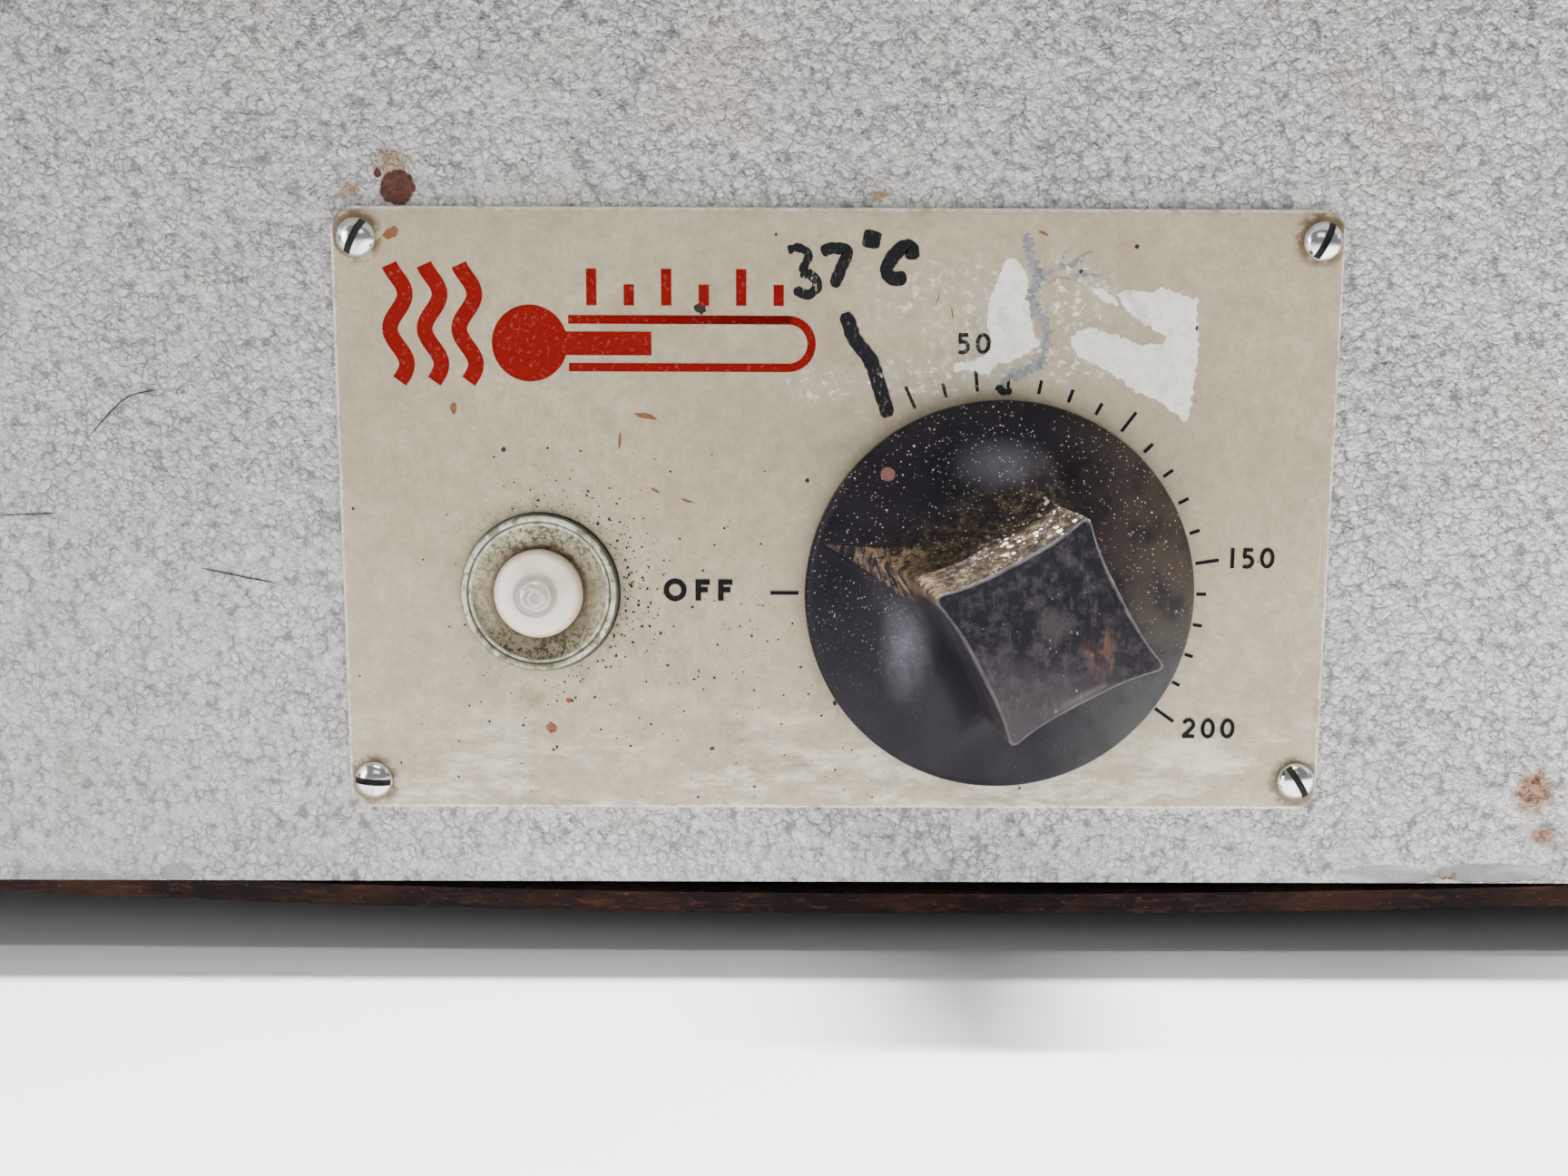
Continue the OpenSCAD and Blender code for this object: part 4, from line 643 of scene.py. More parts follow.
MAT = {
    "hammered": hammered("hammered_enamel"),
    "hammered_front": hammered("hammered_enamel_front", True),
    "panel": panel_enamel(),
    "plated": metal("plated_dull", (0.55, 0.55, 0.53), (0.34, 0.5), 0.4),
    "chrome": metal("chrome_pitted", (0.80, 0.80, 0.79), (0.08, 0.2), 0.5, pit_size=0.0009),
    "screw": metal("screw_chrome", (0.86, 0.86, 0.84), (0.10, 0.22), 0.55, (0.13, 0.085, 0.04),
                   pit_size=0.0007),
    "stainless": metal("stainless_brushed", (0.60, 0.60, 0.59), (0.26, 0.36), 0.15,
                       brush=(0.02, 1, 1)),
    "heater": metal("heater_sheath", (0.17, 0.15, 0.14), (0.45, 0.6), 0.6, (0.22, 0.11, 0.05),
                    pit_size=0.002),
    "brass": metal("brass_dull", (0.62, 0.46, 0.22), (0.28, 0.42), 0.4),
    "copper": metal("copper_dull", (0.55, 0.30, 0.18), (0.3, 0.45), 0.4),
    "bakelite": bakelite(),
    "black": plain("black_moulded", (0.035, 0.035, 0.036), (0.018, 0.018, 0.019), 0.42, 0.0008),
    "rubber": plain("rubber_black", (0.045, 0.044, 0.043), (0.022, 0.022, 0.022), 0.75, 0.0006),
    "seal": plain("silicone_red", (0.36, 0.12, 0.075), (0.24, 0.075, 0.05), 0.55, 0.0012),
    "hardboard": hardboard(),
    "wool": plain("mineral_wool", (0.62, 0.55, 0.36), (0.36, 0.30, 0.17), 0.9, 0.003, 0.001, 6,
                  (1, 1, 0.3)),
    "glass_ring": plain("glass_ring", (0.98, 0.95, 0.90), (0.78, 0.73, 0.66), 0.15, 0.0008),
    "ceramic": plain("ceramic_glazed", (0.74, 0.71, 0.64), (0.62, 0.58, 0.50), 0.25, 0.004),
    "wire": plain("wire_sleeve", (0.30, 0.045, 0.035), (0.19, 0.028, 0.022), 0.5, 0.0009),
    "bezel": bezel_metal(),
    "lens": lens_milk(),
    "clear": clear_tip(),
    "ink": printed("printed_black", (0.006, 0.006, 0.007), (0.35, 0.31, 0.24), 0.05),
    "ink_worn": printed("printed_black_worn", (0.009, 0.009, 0.010), (0.42, 0.39, 0.33), 0.35,
                        0.0005),
    "red": printed("printed_red", (0.15, 0.0040, 0.0036), (0.36, 0.14, 0.10), 0.22, 0.0007),
    "marker": marker_ink(),
    "paper": paper(),
    "glue": grey_glue(),
    "rust_fleck": plain("rust_fleck", (0.20, 0.085, 0.022), (0.085, 0.032, 0.010), 0.85,
                        0.0005),
    "dirt": plain("dirt_dark", (0.020, 0.015, 0.010), (0.005, 0.004, 0.003), 0.9, 0.0006),
}

SLOT_LOOK = {
    "hammertone_paint": "hammered", "panel_enamel": "panel", "plated_steel": "plated",
    "chrome": "chrome", "stainless": "stainless", "bakelite": "bakelite",
    "black_plastic": "black", "rubber": "rubber", "seal": "seal", "hardboard": "hardboard",
    "mineral_wool": "wool", "lens": "lens", "ceramic": "ceramic", "heater_sheath": "heater",
    "brass": "brass", "copper": "copper", "wire": "wire",
}


def paint(obj, look):
    obj.data.materials.clear()
    obj.data.materials.append(MAT[look])


for part in frame["record"]["subparts"]:
    paint(NODE[part["node"]], SLOT_LOOK[part["material_slot"]])
paint(NODE["front_frame"], "hammered_front")
paint(NODE["handle_grip"], "black")
paint(NODE["lamp_bezel"], "bezel")
for o in NODE.values():
    for f in o.data.polygons:
        f.use_smooth = True
    o.data.set_sharp_from_angle(angle=math.radians(32))


# ---------------------------------------------------------------- mesh helpers

def placed(name, me, look, body):
    """An object for a mesh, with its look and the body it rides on."""
    o = bpy.data.objects.new(name, me)
    bpy.context.scene.collection.objects.link(o)
    paint(o, look)
    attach(o, body)
    return o


def mesh_object(name, verts, faces, look, body, sharp=None):
    me = bpy.data.meshes.new(name)
    me.from_pydata([tuple(v) for v in verts], [], faces)
    me.validate()
    me.update()
    for f in me.polygons:
        f.use_smooth = True
    if sharp:
        me.set_sharp_from_angle(angle=math.radians(sharp))
    return placed(name, me, look, body)


def rings(levels, close_start=True, close_end=True):
    """Faces and points of closed loops joined one to the next."""
    n = len(levels[0])
    verts = [p for ring in levels for p in ring]
    faces = [(i * n + k, i * n + (k + 1) % n, (i + 1) * n + (k + 1) % n, (i + 1) * n + k)
             for i in range(len(levels) - 1) for k in range(n)]
    if close_start:
        faces.append(tuple(range(n))[::-1])
    if close_end:
        faces.append(tuple((len(levels) - 1) * n + k for k in range(n)))
    return verts, faces


def circle(n):
    """Each cosine and sine of n even steps round."""
    return [(math.cos(2 * math.pi * k / n), math.sin(2 * math.pi * k / n)) for k in range(n)]


def turned(name, profile, look, n=96):
    """A profile of (radius, distance out) spun about the lamp's axis, out from the panel."""
    levels = [[(LAMP_X + r * c, PANEL_Y - h, LAMP_Z + r * s) for c, s in circle(n)]
              for r, h in profile]
    v, f = rings(levels, profile[0][0] > 1e-7, profile[-1][0] > 1e-7)
    return clean(mesh_object(name, v, f, look, "cabinet"))


def clean(o, merge=1e-6):
    """Join points that coincide and turn every face outwards."""
    bm = bmesh.new()
    bm.from_mesh(o.data)
    if merge:
        bmesh.ops.remove_doubles(bm, verts=bm.verts, dist=merge)
    bmesh.ops.recalc_face_normals(bm, faces=bm.faces)
    bm.to_mesh(o.data)
    bm.free()
    return o


def face_front(bm):
    """Turn flat faces towards the panel's front."""
    for f in bm.faces:
        f.normal_update()
        if f.normal.y > 0:
            f.normal_flip()


def rounded(w, h, r, n=10):
    """A rounded rectangle in x and z about the origin, anticlockwise."""
    out = []
    cx0, cz0 = w / 2 - r, h / 2 - r
    for cx, cz, a0 in ((cx0, cz0, 0), (-cx0, cz0, 90), (-cx0, -cz0, 180), (cx0, -cz0, 270)):
        for i in range(n + 1):
            a = math.radians(a0 + 90 * i / n)
            out.append((cx + r * math.cos(a), cz + r * math.sin(a)))
    return out


def curve_points(p, steps=8):
    """A smooth line through points, in two dimensions."""
    out = []
    for i in range(len(p) - 1):
        a, b, c, d = p[max(i - 1, 0)], p[i], p[i + 1], p[min(i + 2, len(p) - 1)]
        for k in range(steps):
            t = k / steps
            out.append(tuple(0.5 * (2 * v + (w - u) * t + (2 * u - 5 * v + 4 * w - x) * t * t
                                    + (3 * v - u - 3 * w + x) * t ** 3)
                             for u, v, w, x in zip(a, b, c, d)))
    return out + [tuple(p[-1])]


class Sheet:
    """Flat marks on the panel's face, gathered into one mesh. Sizes in millimetres."""

    def __init__(self, out):
        self.v, self.f, self.out = [], [], out

    def poly(self, pts):
        base = len(self.v)
        self.out += 0.004
        self.v += [on_panel(x, z, self.out) for x, z in pts]
        self.f.append(tuple(range(base, base + len(pts))))

    def stroke(self, pts, width, rough=0.0, seed=0, taper=False, cap=False):
        """A ribbon along a line, with rough sides and, if asked for, narrowing ends."""
        n = len(pts)
        base = len(self.v)
        self.out += 0.004
        for i, (x, z) in enumerate(pts):
            x0, z0 = pts[max(i - 1, 0)]
            x1, z1 = pts[min(i + 1, n - 1)]
            d = math.hypot(x1 - x0, z1 - z0) or 1
            nx, nz = -(z1 - z0) / d, (x1 - x0) / d
            w = width
            if taper or cap:
                edge = min(i, n - 1 - i)
                w *= min(1, (edge + 0.6) / (3 if cap else 6)) ** 0.5
            for s in (-1, 1):
                j = rough * noise.noise(Vector((x * 1.9 + seed, z * 1.9, s * 7.3)))
                j += rough * 0.5 * noise.noise(Vector((x * 6.1 + seed, z * 6.1, s * 3.1)))
                side = s * (w / 2 + j)
                self.v.append(on_panel(x + side * nx, z + side * nz, self.out))
        for i in range(n - 1):
            a = base + 2 * i
            self.f.append((a, a + 1, a + 3, a + 2))

    def ring(self, x, z, rx, rz, width, n=48):
        base = len(self.v)
        for c, s in circle(n):
            for w in (-width / 2, width / 2):
                self.v.append(on_panel(x + (rx + w) * c, z + (rz + w) * s, self.out))
        for i in range(n):
            a, b = base + 2 * i, base + 2 * ((i + 1) % n)
            self.f.append((a, a + 1, b + 1, b))

    def disc(self, x, z, r, n=40):
        self.poly([(x + r * c, z + r * s) for c, s in circle(n)])

    def make(self, name, look):
        o = mesh_object(name, self.v, self.f, look, "cabinet")
        bm = bmesh.new()
        bm.from_mesh(o.data)
        face_front(bm)
        bm.to_mesh(o.data)
        bm.free()


# ---------------------------------------------------------------- control panel

def plate():
    """The panel's plate, its arris softened and slightly uneven."""
    levels = []
    for inset, y in ((0.0, 0.0), (0.0, -PANEL_T + 0.00045), (0.00010, -PANEL_T + 0.0002),
                     (0.00028, -PANEL_T + 0.00005), (0.0005, -PANEL_T), (0.0030, -PANEL_T)):
        w, h, r = PANEL_W - 2 * inset, PANEL_H - 2 * inset, 0.0036 - inset * 0.8
        loop = rounded(w, h, max(r, 0.001), 12)
        dense = []
        for i, (x, z) in enumerate(loop):
            x1, z1 = loop[(i + 1) % len(loop)]
            k = max(1, int(math.hypot(x1 - x, z1 - z) / 0.0015))
            dense += [(x + (x1 - x) * j / k, z + (z1 - z) * j / k) for j in range(k)]
        levels.append((inset, y, dense))
    n = min(len(d) for _, _, d in levels)
    out = []
    for inset, y, d in levels:
        ring = []
        for i in range(n):
            x, z = d[int(i * len(d) / n)]
            j = 0.00006 * noise.noise(Vector((x * 700, z * 700, 1))) if inset < 0.002 else 0
            ring.append((PANEL_X + x * (1 - abs(j) * 18), PANEL_Y + PANEL_T + y,
                         PANEL_Z + z * (1 - abs(j) * 18)))
        out.append(ring)
    v, f = rings(out)
    o = mesh_object("panel_plate", v, f, "panel", "cabinet", sharp=40)
    clean(o)
    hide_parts("control_panel")


plate()

KX, KZ = (KNOB_X - PANEL_X) / MM, (KNOB_Z - PANEL_Z) / MM


def polar(r, a):
    """A point on the panel, from the knob's axis: millimetres out at an angle in degrees."""
    return KX + r * math.cos(math.radians(a)), KZ + r * math.sin(math.radians(a))


# the angle of each dial mark, in degrees
TICKS = {30: 114.5, 40: 105.3, 50: 96.4, 60: 87.9, 70: 79.2, 80: 70.5, 90: 62.0, 100: 53.3,
         110: 44.5, 120: 35.6, 130: 26.8, 140: 17.6, 150: 8.8, 160: 0.0, 170: -8.8,
         180: -17.6, 190: -26.3, 200: -35.4}


def arc(cx, cz, r, a0, a1, n=12, rz=None):
    """Points on an arc from angle a0 to a1, in degrees."""
    rz = rz or r
    return [(cx + r * math.cos(math.radians(a0 + (a1 - a0) * i / n)),
             cz + rz * math.sin(math.radians(a0 + (a1 - a0) * i / n))) for i in range(n + 1)]


def figures(sheet, text, x, z, w=0.46):
    """Plain figures and capitals 3 mm high, from the left end at x, their foot at z."""
    for c in text:
        if c == "0":
            sheet.ring(x + 1.0, z + 1.5, 0.80, 1.26, w)
            x += 2.95
        elif c == "1":
            sheet.stroke([(x + 0.5, z), (x + 0.5, z + 3.0)], w)
            x += 1.9
        elif c == "2":
            sheet.stroke(arc(x + 0.95, z + 2.08, 0.72, 165, -38) + [(x + 0.2, z + w / 2)], w)
            sheet.stroke([(x + 0.05, z + w / 2), (x + 1.85, z + w / 2)], w)
            x += 2.85
        elif c == "5":
            sheet.stroke([(x + 1.6, z + 3 - w / 2), (x + 0.42, z + 3 - w / 2)], w)
            sheet.stroke([(x + 0.48, z + 3), (x + 0.36, z + 1.62)], w)
            sheet.stroke(arc(x + 0.72, z + 0.97, 0.84, 128, -128, 16, 0.78), w)
            x += 2.75
        elif c == "O":
            sheet.ring(x + 1.6, z + 1.6, 1.3, 1.3, w)
            x += 4.6
        elif c == "F":
            sheet.stroke([(x + w / 2, z), (x + w / 2, z + 3.2)], w)
            sheet.stroke([(x, z + 3.2 - w / 2), (x + 2.15, z + 3.2 - w / 2)], w)
            sheet.stroke([(x, z + 1.65), (x + 1.85, z + 1.65)], w)
            x += 3.35


INNER, LONG, SHORT = 29.8, 33.3, 31.9   # radii of the ends of the dial's marks
WORN = (30, 40, 50)
marks = Sheet(0.03)
for value, a in TICKS.items():
    if value not in WORN:
        top = LONG if value % 50 == 0 else SHORT - 0.9 * max(0, (90 - a)) / 125
        marks.stroke([polar(INNER, a), polar(top, a)], 0.50)
marks.stroke([polar(29.2, 180), polar(33.4, 180)], 0.56)
figures(marks, "OFF", -25.4, -12.6, 0.84)
figures(marks, "150", 58.1, -7.5, 0.56)
figures(marks, "200", 52.2, -33.2, 0.56)
marks.make("dial_marks", "ink")
worn = Sheet(0.03)
for value in WORN:
    top = SHORT if value == 40 else LONG
    worn.stroke([polar(INNER, TICKS[value]), polar(top, TICKS[value])], 0.48)
figures(worn, "50", 17.3, 23.6, 0.58)
worn.make("dial_marks_worn", "ink_worn")

# A plain sign for heat in place of any name: three rising waves and a lying thermometer
sign = Sheet(0.03)
for i in range(3):
    x0 = -63.6 + i * 5.0
    wave = [(x0 + 1.15 * math.sin(2 * math.pi * t / 24), 19.4 + 16.6 * t / 40) for t in range(41)]
    sign.stroke(wave, 2.3)
bulb_x, bulb_z = -44.6, 24.9
sign.disc(bulb_x, bulb_z, 5.5, 56)
sign.stroke([(bulb_x + 4.6, bulb_z), (-27.0, bulb_z)], 3.4)
tube = [(bulb_x + 5.6, bulb_z + 3.4), (-7.2, bulb_z + 3.4)]
tube += arc(-7.2, bulb_z, 3.4, 90, -90, 16) + [(bulb_x + 5.6, bulb_z - 3.4)]
sign.stroke(tube, 1.25)
for i in range(6):
    x = -35.6 + i * 5.4
    sign.stroke([(x, bulb_z + 5.4), (x, bulb_z + (10.6 if i % 2 == 0 else 8.4))], 1.5)
sign.make("heat_sign", "red")

# Temperature note in felt pen, with a line that points at the dial
pen = Sheet(0.07)
for i, (width, ragged, points) in enumerate((
        (1.25, 0.22, [(-7.3, 38.2), (-5.9, 38.5), (-4.4, 37.8), (-4.7, 36.4), (-5.5, 35.1)]),
        (1.45, 0.22, [(-5.5, 35.0), (-3.8, 34.6), (-3.1, 33.2), (-4.3, 31.9), (-6.4, 32.7)]),
        (1.7, 0.14, [(-2.5, 37.9), (-0.9, 38.5), (1.2, 38.0), (0.4, 35.7), (-0.7, 33.0)]),
        (2.6, 0.15, [(5.0, 41.0), (4.7, 39.8), (4.5, 38.5)]),
        (2.0, 0.15, [(10.6, 36.9), (10.4, 38.6), (9.0, 38.5), (7.5, 36.9), (6.9, 35.4),
                     (7.9, 34.2), (9.8, 34.5)]),
        (2.15, 0.22, [(1.0, 29.4), (2.4, 25.7), (4.7, 22.7), (6.4, 17.9), (7.5, 14.5)]),
        (1.0, 0.3, [(23.1, 19.0), (24.1, 18.3), (25.4, 18.2)]))):
    pen.stroke(curve_points(points), width, ragged, i + 1, cap=True)
pen.make("marker_note", "marker")


def blot(sheet, x, z, rx, rz, seed, turn=0.0):
    """A small ragged spot; the sheet steps out by very little for each."""
    c, s = math.cos(math.radians(turn)), math.sin(math.radians(turn))
    n = 14 if rx > 0.3 else 7
    pts = []
    for k in range(n):
        a = 2 * math.pi * k / n
        around = Vector((math.cos(a) * 1.7 + seed, math.sin(a) * 1.7, seed * 0.37))
        r = 1 + 0.45 * noise.noise(around)
        u, w = rx * r * math.cos(a), rz * r * math.sin(a)
        pts.append((x + u * c - w * s, z + u * s + w * c))
    out = sheet.out
    sheet.poly(pts)
    sheet.out = out + 0.0002


# Dirt on the panel: the specks that can be told apart, then a random scatter
spots = Sheet(0.055)
for i, (x, z, rx, rz) in enumerate((
        (-48.7, 9.6, 0.40, 0.36), (-26.0, -17.5, 0.26, 0.24), (-18.4, -35.0, 0.36, 0.26),
        (51.8, 27.4, 0.36, 0.40), (-19.9, 29.9, 0.80, 0.78), (-4.3, 5.2, 0.34, 0.36),
        (0.0, -28.0, 0.30, 0.42), (35.0, 35.3, 0.40, 0.34), (42.9, 38.9, 0.34, 0.30),
        (-9.0, 40.4, 0.22, 0.22), (-71.0, 0.9, 0.24, 0.30), (-37.5, 9.4, 0.20, 0.18),
        (62.4, -6.5, 0.16, 0.16), (-12.0, -40.9, 0.24, 0.20), (28.0, -41.0, 0.26, 0.18))):
    blot(spots, x, z, rx, rz, i * 3.1)
rng = random.Random(11)
SPECKS, UNDER_KNOB = 620, 29
for i in range(SPECKS):
    pick = rng.random()
    if pick < 0.45:                       # thick round the bezel's right and top
        a, r = rng.gauss(0.25, 1.0), 12.2 + abs(rng.gauss(0, 3.4))
        x, z = LAMP_MM[0] + r * math.cos(a), LAMP_MM[1] + r * math.sin(a)
    elif pick < 0.75:
        x, z = rng.gauss(-20, 9), rng.gauss(-14, 12)
    else:
        x, z = rng.uniform(-71, 8), rng.uniform(-43, -20)
    off_panel = abs(x) > 71.5 or abs(z) > 43
    if off_panel or math.hypot(x - KX, z - KZ) < UNDER_KNOB:
        continue
    size = 0.075 + 0.16 * rng.random() ** 3
    blot(spots, x, z, size, size * rng.uniform(0.6, 1.3), i)
spots.make("panel_specks", "dirt")

# Rust that shows through at chips
rust = Sheet(0.05)
for i, (x, z, rx, rz, turn) in enumerate((
        (-31.75, 11.0, 0.22, 1.35, -4), (-28.0, 14.5, 1.7, 0.42, -12),
        (-42.5, -31.9, 0.75, 0.85, 0), (-39.7, -27.7, 0.55, 0.36, 0),
        (-22.0, 2.2, 0.95, 0.20, -20), (-26.6, 3.7, 0.80, 0.18, -30), (29.4, 40.7, 0.8, 0.25, -20),
        (16.5, 29.4, 0.12, 1.1, 8), (14.4, 31.5, 0.12, 0.8, -14), (-64.2, 40.4, 1.3, 0.7, 30),
        (-55.9, 15.5, 0.5, 0.9, 0))):
    blot(rust, x, z, rx, rz, 50 + i * 2.3, turn)
rust.make("panel_rust", "rust_fleck")

# The torn edge of the label's glue
glue = Sheet(0.05)
for width, ragged, seed, steps, points in (
        (1.35, 1.15, 11, 14, [
            (26.6, 40.5), (27.3, 38.6), (27.6, 37.1), (28.7, 35.1), (29.0, 34.0), (28.1, 32.4),
            (28.6, 29.7), (29.8, 28.2), (30.1, 26.2), (29.9, 24.3), (29.0, 22.3), (26.6, 20.9),
            (24.5, 19.9)]),
        (0.45, 0.6, 12, 10, [(29.1, 34.2), (30.5, 35.2), (32.0, 35.9), (33.6, 36.3), (35.5, 36.9)]),
        (0.3, 0.5, 15, 10, [(30.2, 33.6), (31.6, 34.4), (33.4, 34.2), (35.2, 35.0), (38.0, 34.9)]),
        (0.3, 0.45, 16, 10, [(32.0, 35.9), (32.4, 37.6), (33.9, 38.8)]),
        (0.3, 0.35, 13, 10, [(33.6, 36.3), (34.7, 37.5), (37.1, 38.3)]),
        (0.7, 0.4, 14, 10, [(24.4, 18.1), (24.0, 19.8), (25.3, 20.4)])):
    glue.stroke(curve_points(points, steps), width, ragged, seed, taper=True)
glue.make("glue_tear", "glue")


def torn(name, outline, seed, thick=0.16):
    """A scrap of label: ragged outline, feathered edge, fibres lifting in the middle."""
    pts = []
    for i, (x, z) in enumerate(outline):
        x1, z1 = outline[(i + 1) % len(outline)]
        k = max(2, int(math.hypot(x1 - x, z1 - z) / 0.22))
        for j in range(k):
            px, pz = x + (x1 - x) * j / k, z + (z1 - z) * j / k
            n = Vector((px * 1.3 + seed, pz * 1.3, 0))
            px += 0.42 * noise.noise(n) + 0.16 * noise.noise(n * 4)
            pz += 0.42 * noise.noise(n + Vector((9, 9, 9)))
            pz += 0.16 * noise.noise(n * 4 + Vector((5, 1, 2)))
            pts.append((px, pz))
    bm = bmesh.new()
    vs = [bm.verts.new(on_panel(x, z, 0.02)) for x, z in pts]
    edges = [bm.edges.new((vs[i], vs[(i + 1) % len(vs)])) for i in range(len(vs))]
    bmesh.ops.triangle_fill(bm, use_beauty=True, edges=edges)
    for _ in range(3):
        inner = [e for e in bm.edges if not e.is_boundary and e.calc_length() > 0.0006]
        if not inner:
            break
        bmesh.ops.subdivide_edges(bm, edges=inner, cuts=1, use_grid_fill=False)
        bmesh.ops.triangulate(bm, faces=bm.faces)
        bmesh.ops.beautify_fill(bm, faces=bm.faces, edges=bm.edges)
    bm.verts.ensure_lookup_table()
    rim = {v for v in bm.verts if v.is_boundary}
    rim_co = [v.co.copy() for v in rim]
    for v in bm.verts:
        if v in rim:
            continue
        d = min((v.co - c).length for c in rim_co)
        lift = thick * min(1, d / 0.0009)
        lift *= 0.75 + 0.5 * noise.noise(v.co * 900 + Vector((seed, 0, 0)))
        v.co.y = PANEL_Y - (0.02 + max(0.02, lift)) * MM
    face_front(bm)
    for f in bm.faces:
        f.smooth = True
    me = bpy.data.meshes.new(name)
    bm.to_mesh(me)
    bm.free()
    placed(name, me, "paper", "cabinet")


torn("label_scrap_left", [
    (24.7, 37.2), (23.7, 36.1), (22.4, 32.8), (21.7, 30.8), (21.7, 27.7), (22.2, 24.2),
    (19.4, 22.6), (17.2, 22.2), (16.6, 21.0), (18.8, 21.4), (21.0, 20.6), (23.6, 22.1),
    (26.2, 23.0), (28.7, 24.4), (29.3, 25.2), (28.5, 26.2), (28.1, 27.8), (27.8, 29.3),
    (27.2, 32.0), (27.3, 34.4), (26.5, 35.9), (25.5, 37.0)], 1.0)
torn("label_scrap_right", [
    (40.0, 32.3), (41.6, 32.7), (45.6, 32.4), (46.6, 33.3), (47.4, 32.8), (52.0, 31.5),
    (51.9, 29.1), (52.3, 25.2), (51.9, 18.9), (51.4, 15.0), (50.8, 14.0), (49.0, 15.3),
    (46.9, 16.9), (43.7, 18.1), (40.4, 20.4), (38.0, 22.0), (35.1, 23.1), (33.9, 24.7),
    (33.7, 25.9), (34.6, 27.0), (36.6, 27.4), (40.2, 26.3), (43.4, 25.1), (45.8, 25.0),
    (47.4, 25.2), (47.6, 26.2), (45.6, 27.1), (43.0, 28.9), (41.0, 30.6)], 5.0)
torn("label_scrap_small", [
    (36.6, 32.9), (37.6, 33.1), (40.1, 31.5), (40.7, 30.4), (39.3, 30.8), (37.3, 31.9)], 9.0, 0.1)


# ---------------------------------------------------------------- panel screws

def dome_screw(name, x, z, angle):
    """A round-head screw with a slot cut through its dome, dark at the slot's floor."""
    r, h, floor, half_slot = 2.85, 1.75, 0.40, 0.5
    levels = []
    profile = [(r * 0.97, -0.02), (r, 0.12)]
    for i in range(1, 13):
        a = math.radians(90 * i / 12)
        profile.append((r * math.cos(a), 0.12 + (h - 0.12) * math.sin(a)))
    for pr, ph in profile:
        levels.append([on_panel(x + pr * c, z + pr * s, ph) for c, s in circle(56)])
    v, f = rings(levels, True, False)
    head = mesh_object(name, v, f, "screw", "cabinet", sharp=35)
    clean(head, 1e-5)
    c, s = math.cos(math.radians(angle)), math.sin(math.radians(angle))
    cut = []
    for out in (h * floor, h + 1):
        cut.append([on_panel(x + u * c - w * half_slot * s, z + u * s + w * half_slot * c, out)
                    for u, w in ((-4, -1), (4, -1), (4, 1), (-4, 1))])
    v, f = rings(cut)
    cutter = mesh_object(name + "_cut", v, f, "dirt", "cabinet")
    clean(cutter)
    mod = head.modifiers.new("slot", "BOOLEAN")
    mod.operation, mod.solver, mod.object = "DIFFERENCE", "EXACT", cutter
    dg = bpy.context.evaluated_depsgraph_get()
    me = bpy.data.meshes.new_from_object(head.evaluated_get(dg))
    head.modifiers.clear()
    head.data = me
    bpy.data.objects.remove(cutter)
    paint(head, "screw")
    head.data.materials.append(MAT["dirt"])
    floor_y = PANEL_Y - h * floor * MM
    for p in head.data.polygons:
        flat = abs(p.normal.y) > 0.98 and abs(p.center.y - floor_y) < 2e-5
        p.material_index = 1 if flat else 0
        p.use_smooth = True
    head.data.set_sharp_from_angle(angle=math.radians(35))
    return head


# each head sits a little off its hole's middle, as in the photograph
heads = [dome_screw("panel_screw_" + name, x, z, angle) for name, x, z, angle in (
    ("tl", 0.35 - SCREW_AX, SCREW_AZ - 0.3, 61), ("tr", SCREW_AX, SCREW_AZ - 0.35, 66),
    ("bl", 0.2 - SCREW_AX, 0.1 - SCREW_AZ, -5), ("br", SCREW_AX + 0.1, 0.3 - SCREW_AZ, -58))]
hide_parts("panel_screws")


# ---------------------------------------------------------------- signal lamp

BR = BEZEL_R
bezel = turned("bezel_ring", [
    (BR - 0.00035, 0.0), (BR - 0.0001, 0.0004), (BR, 0.0010), (BR - 0.00015, 0.0016),
    (BR - 0.0005, 0.0019), (BR - 0.0009, 0.0019), (BR - 0.00115, 0.00165), (BR - 0.0012, 0.00145),
    (BR - 0.00135, 0.00150), (BR - 0.0016, 0.00152), (BR - 0.0018, 0.00138), (BR - 0.0024, 0.0011),
    (BR - 0.0034, 0.00085), (BR - 0.0043, 0.00072), (0.0065, 0.0007), (0.0062, 0.0004)],
    "bezel", n=128)
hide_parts("lamp_bezel")
turned("bezel_dirt", [
    (BR + 0.00018, 0.00002), (BR + 0.0001, 0.00022), (BR - 0.0003, 0.0003)], "dirt")
LR = 0.0065
lens = turned("lens_cap", [
    (LR - 0.0002, 0.0007), (LR, 0.0010), (LR, 0.0021), (LR - 0.0002, 0.0029), (LR - 0.0007, 0.0035),
    (LR - 0.0015, 0.00395), (LR - 0.0025, 0.0042), (LR - 0.0031, 0.0043), (0.0031, 0.0043),
    (0.0028, 0.0036), (0.0, 0.0032)], "lens")
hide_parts("lamp_lens")
turned("lens_tip", [
    (0.0031, 0.00415), (0.00325, 0.0046), (0.0032, 0.0052), (0.0029, 0.0060), (0.00235, 0.0067),
    (0.0016, 0.00715), (0.0008, 0.00735), (0.0, 0.0074)], "clear", n=64)
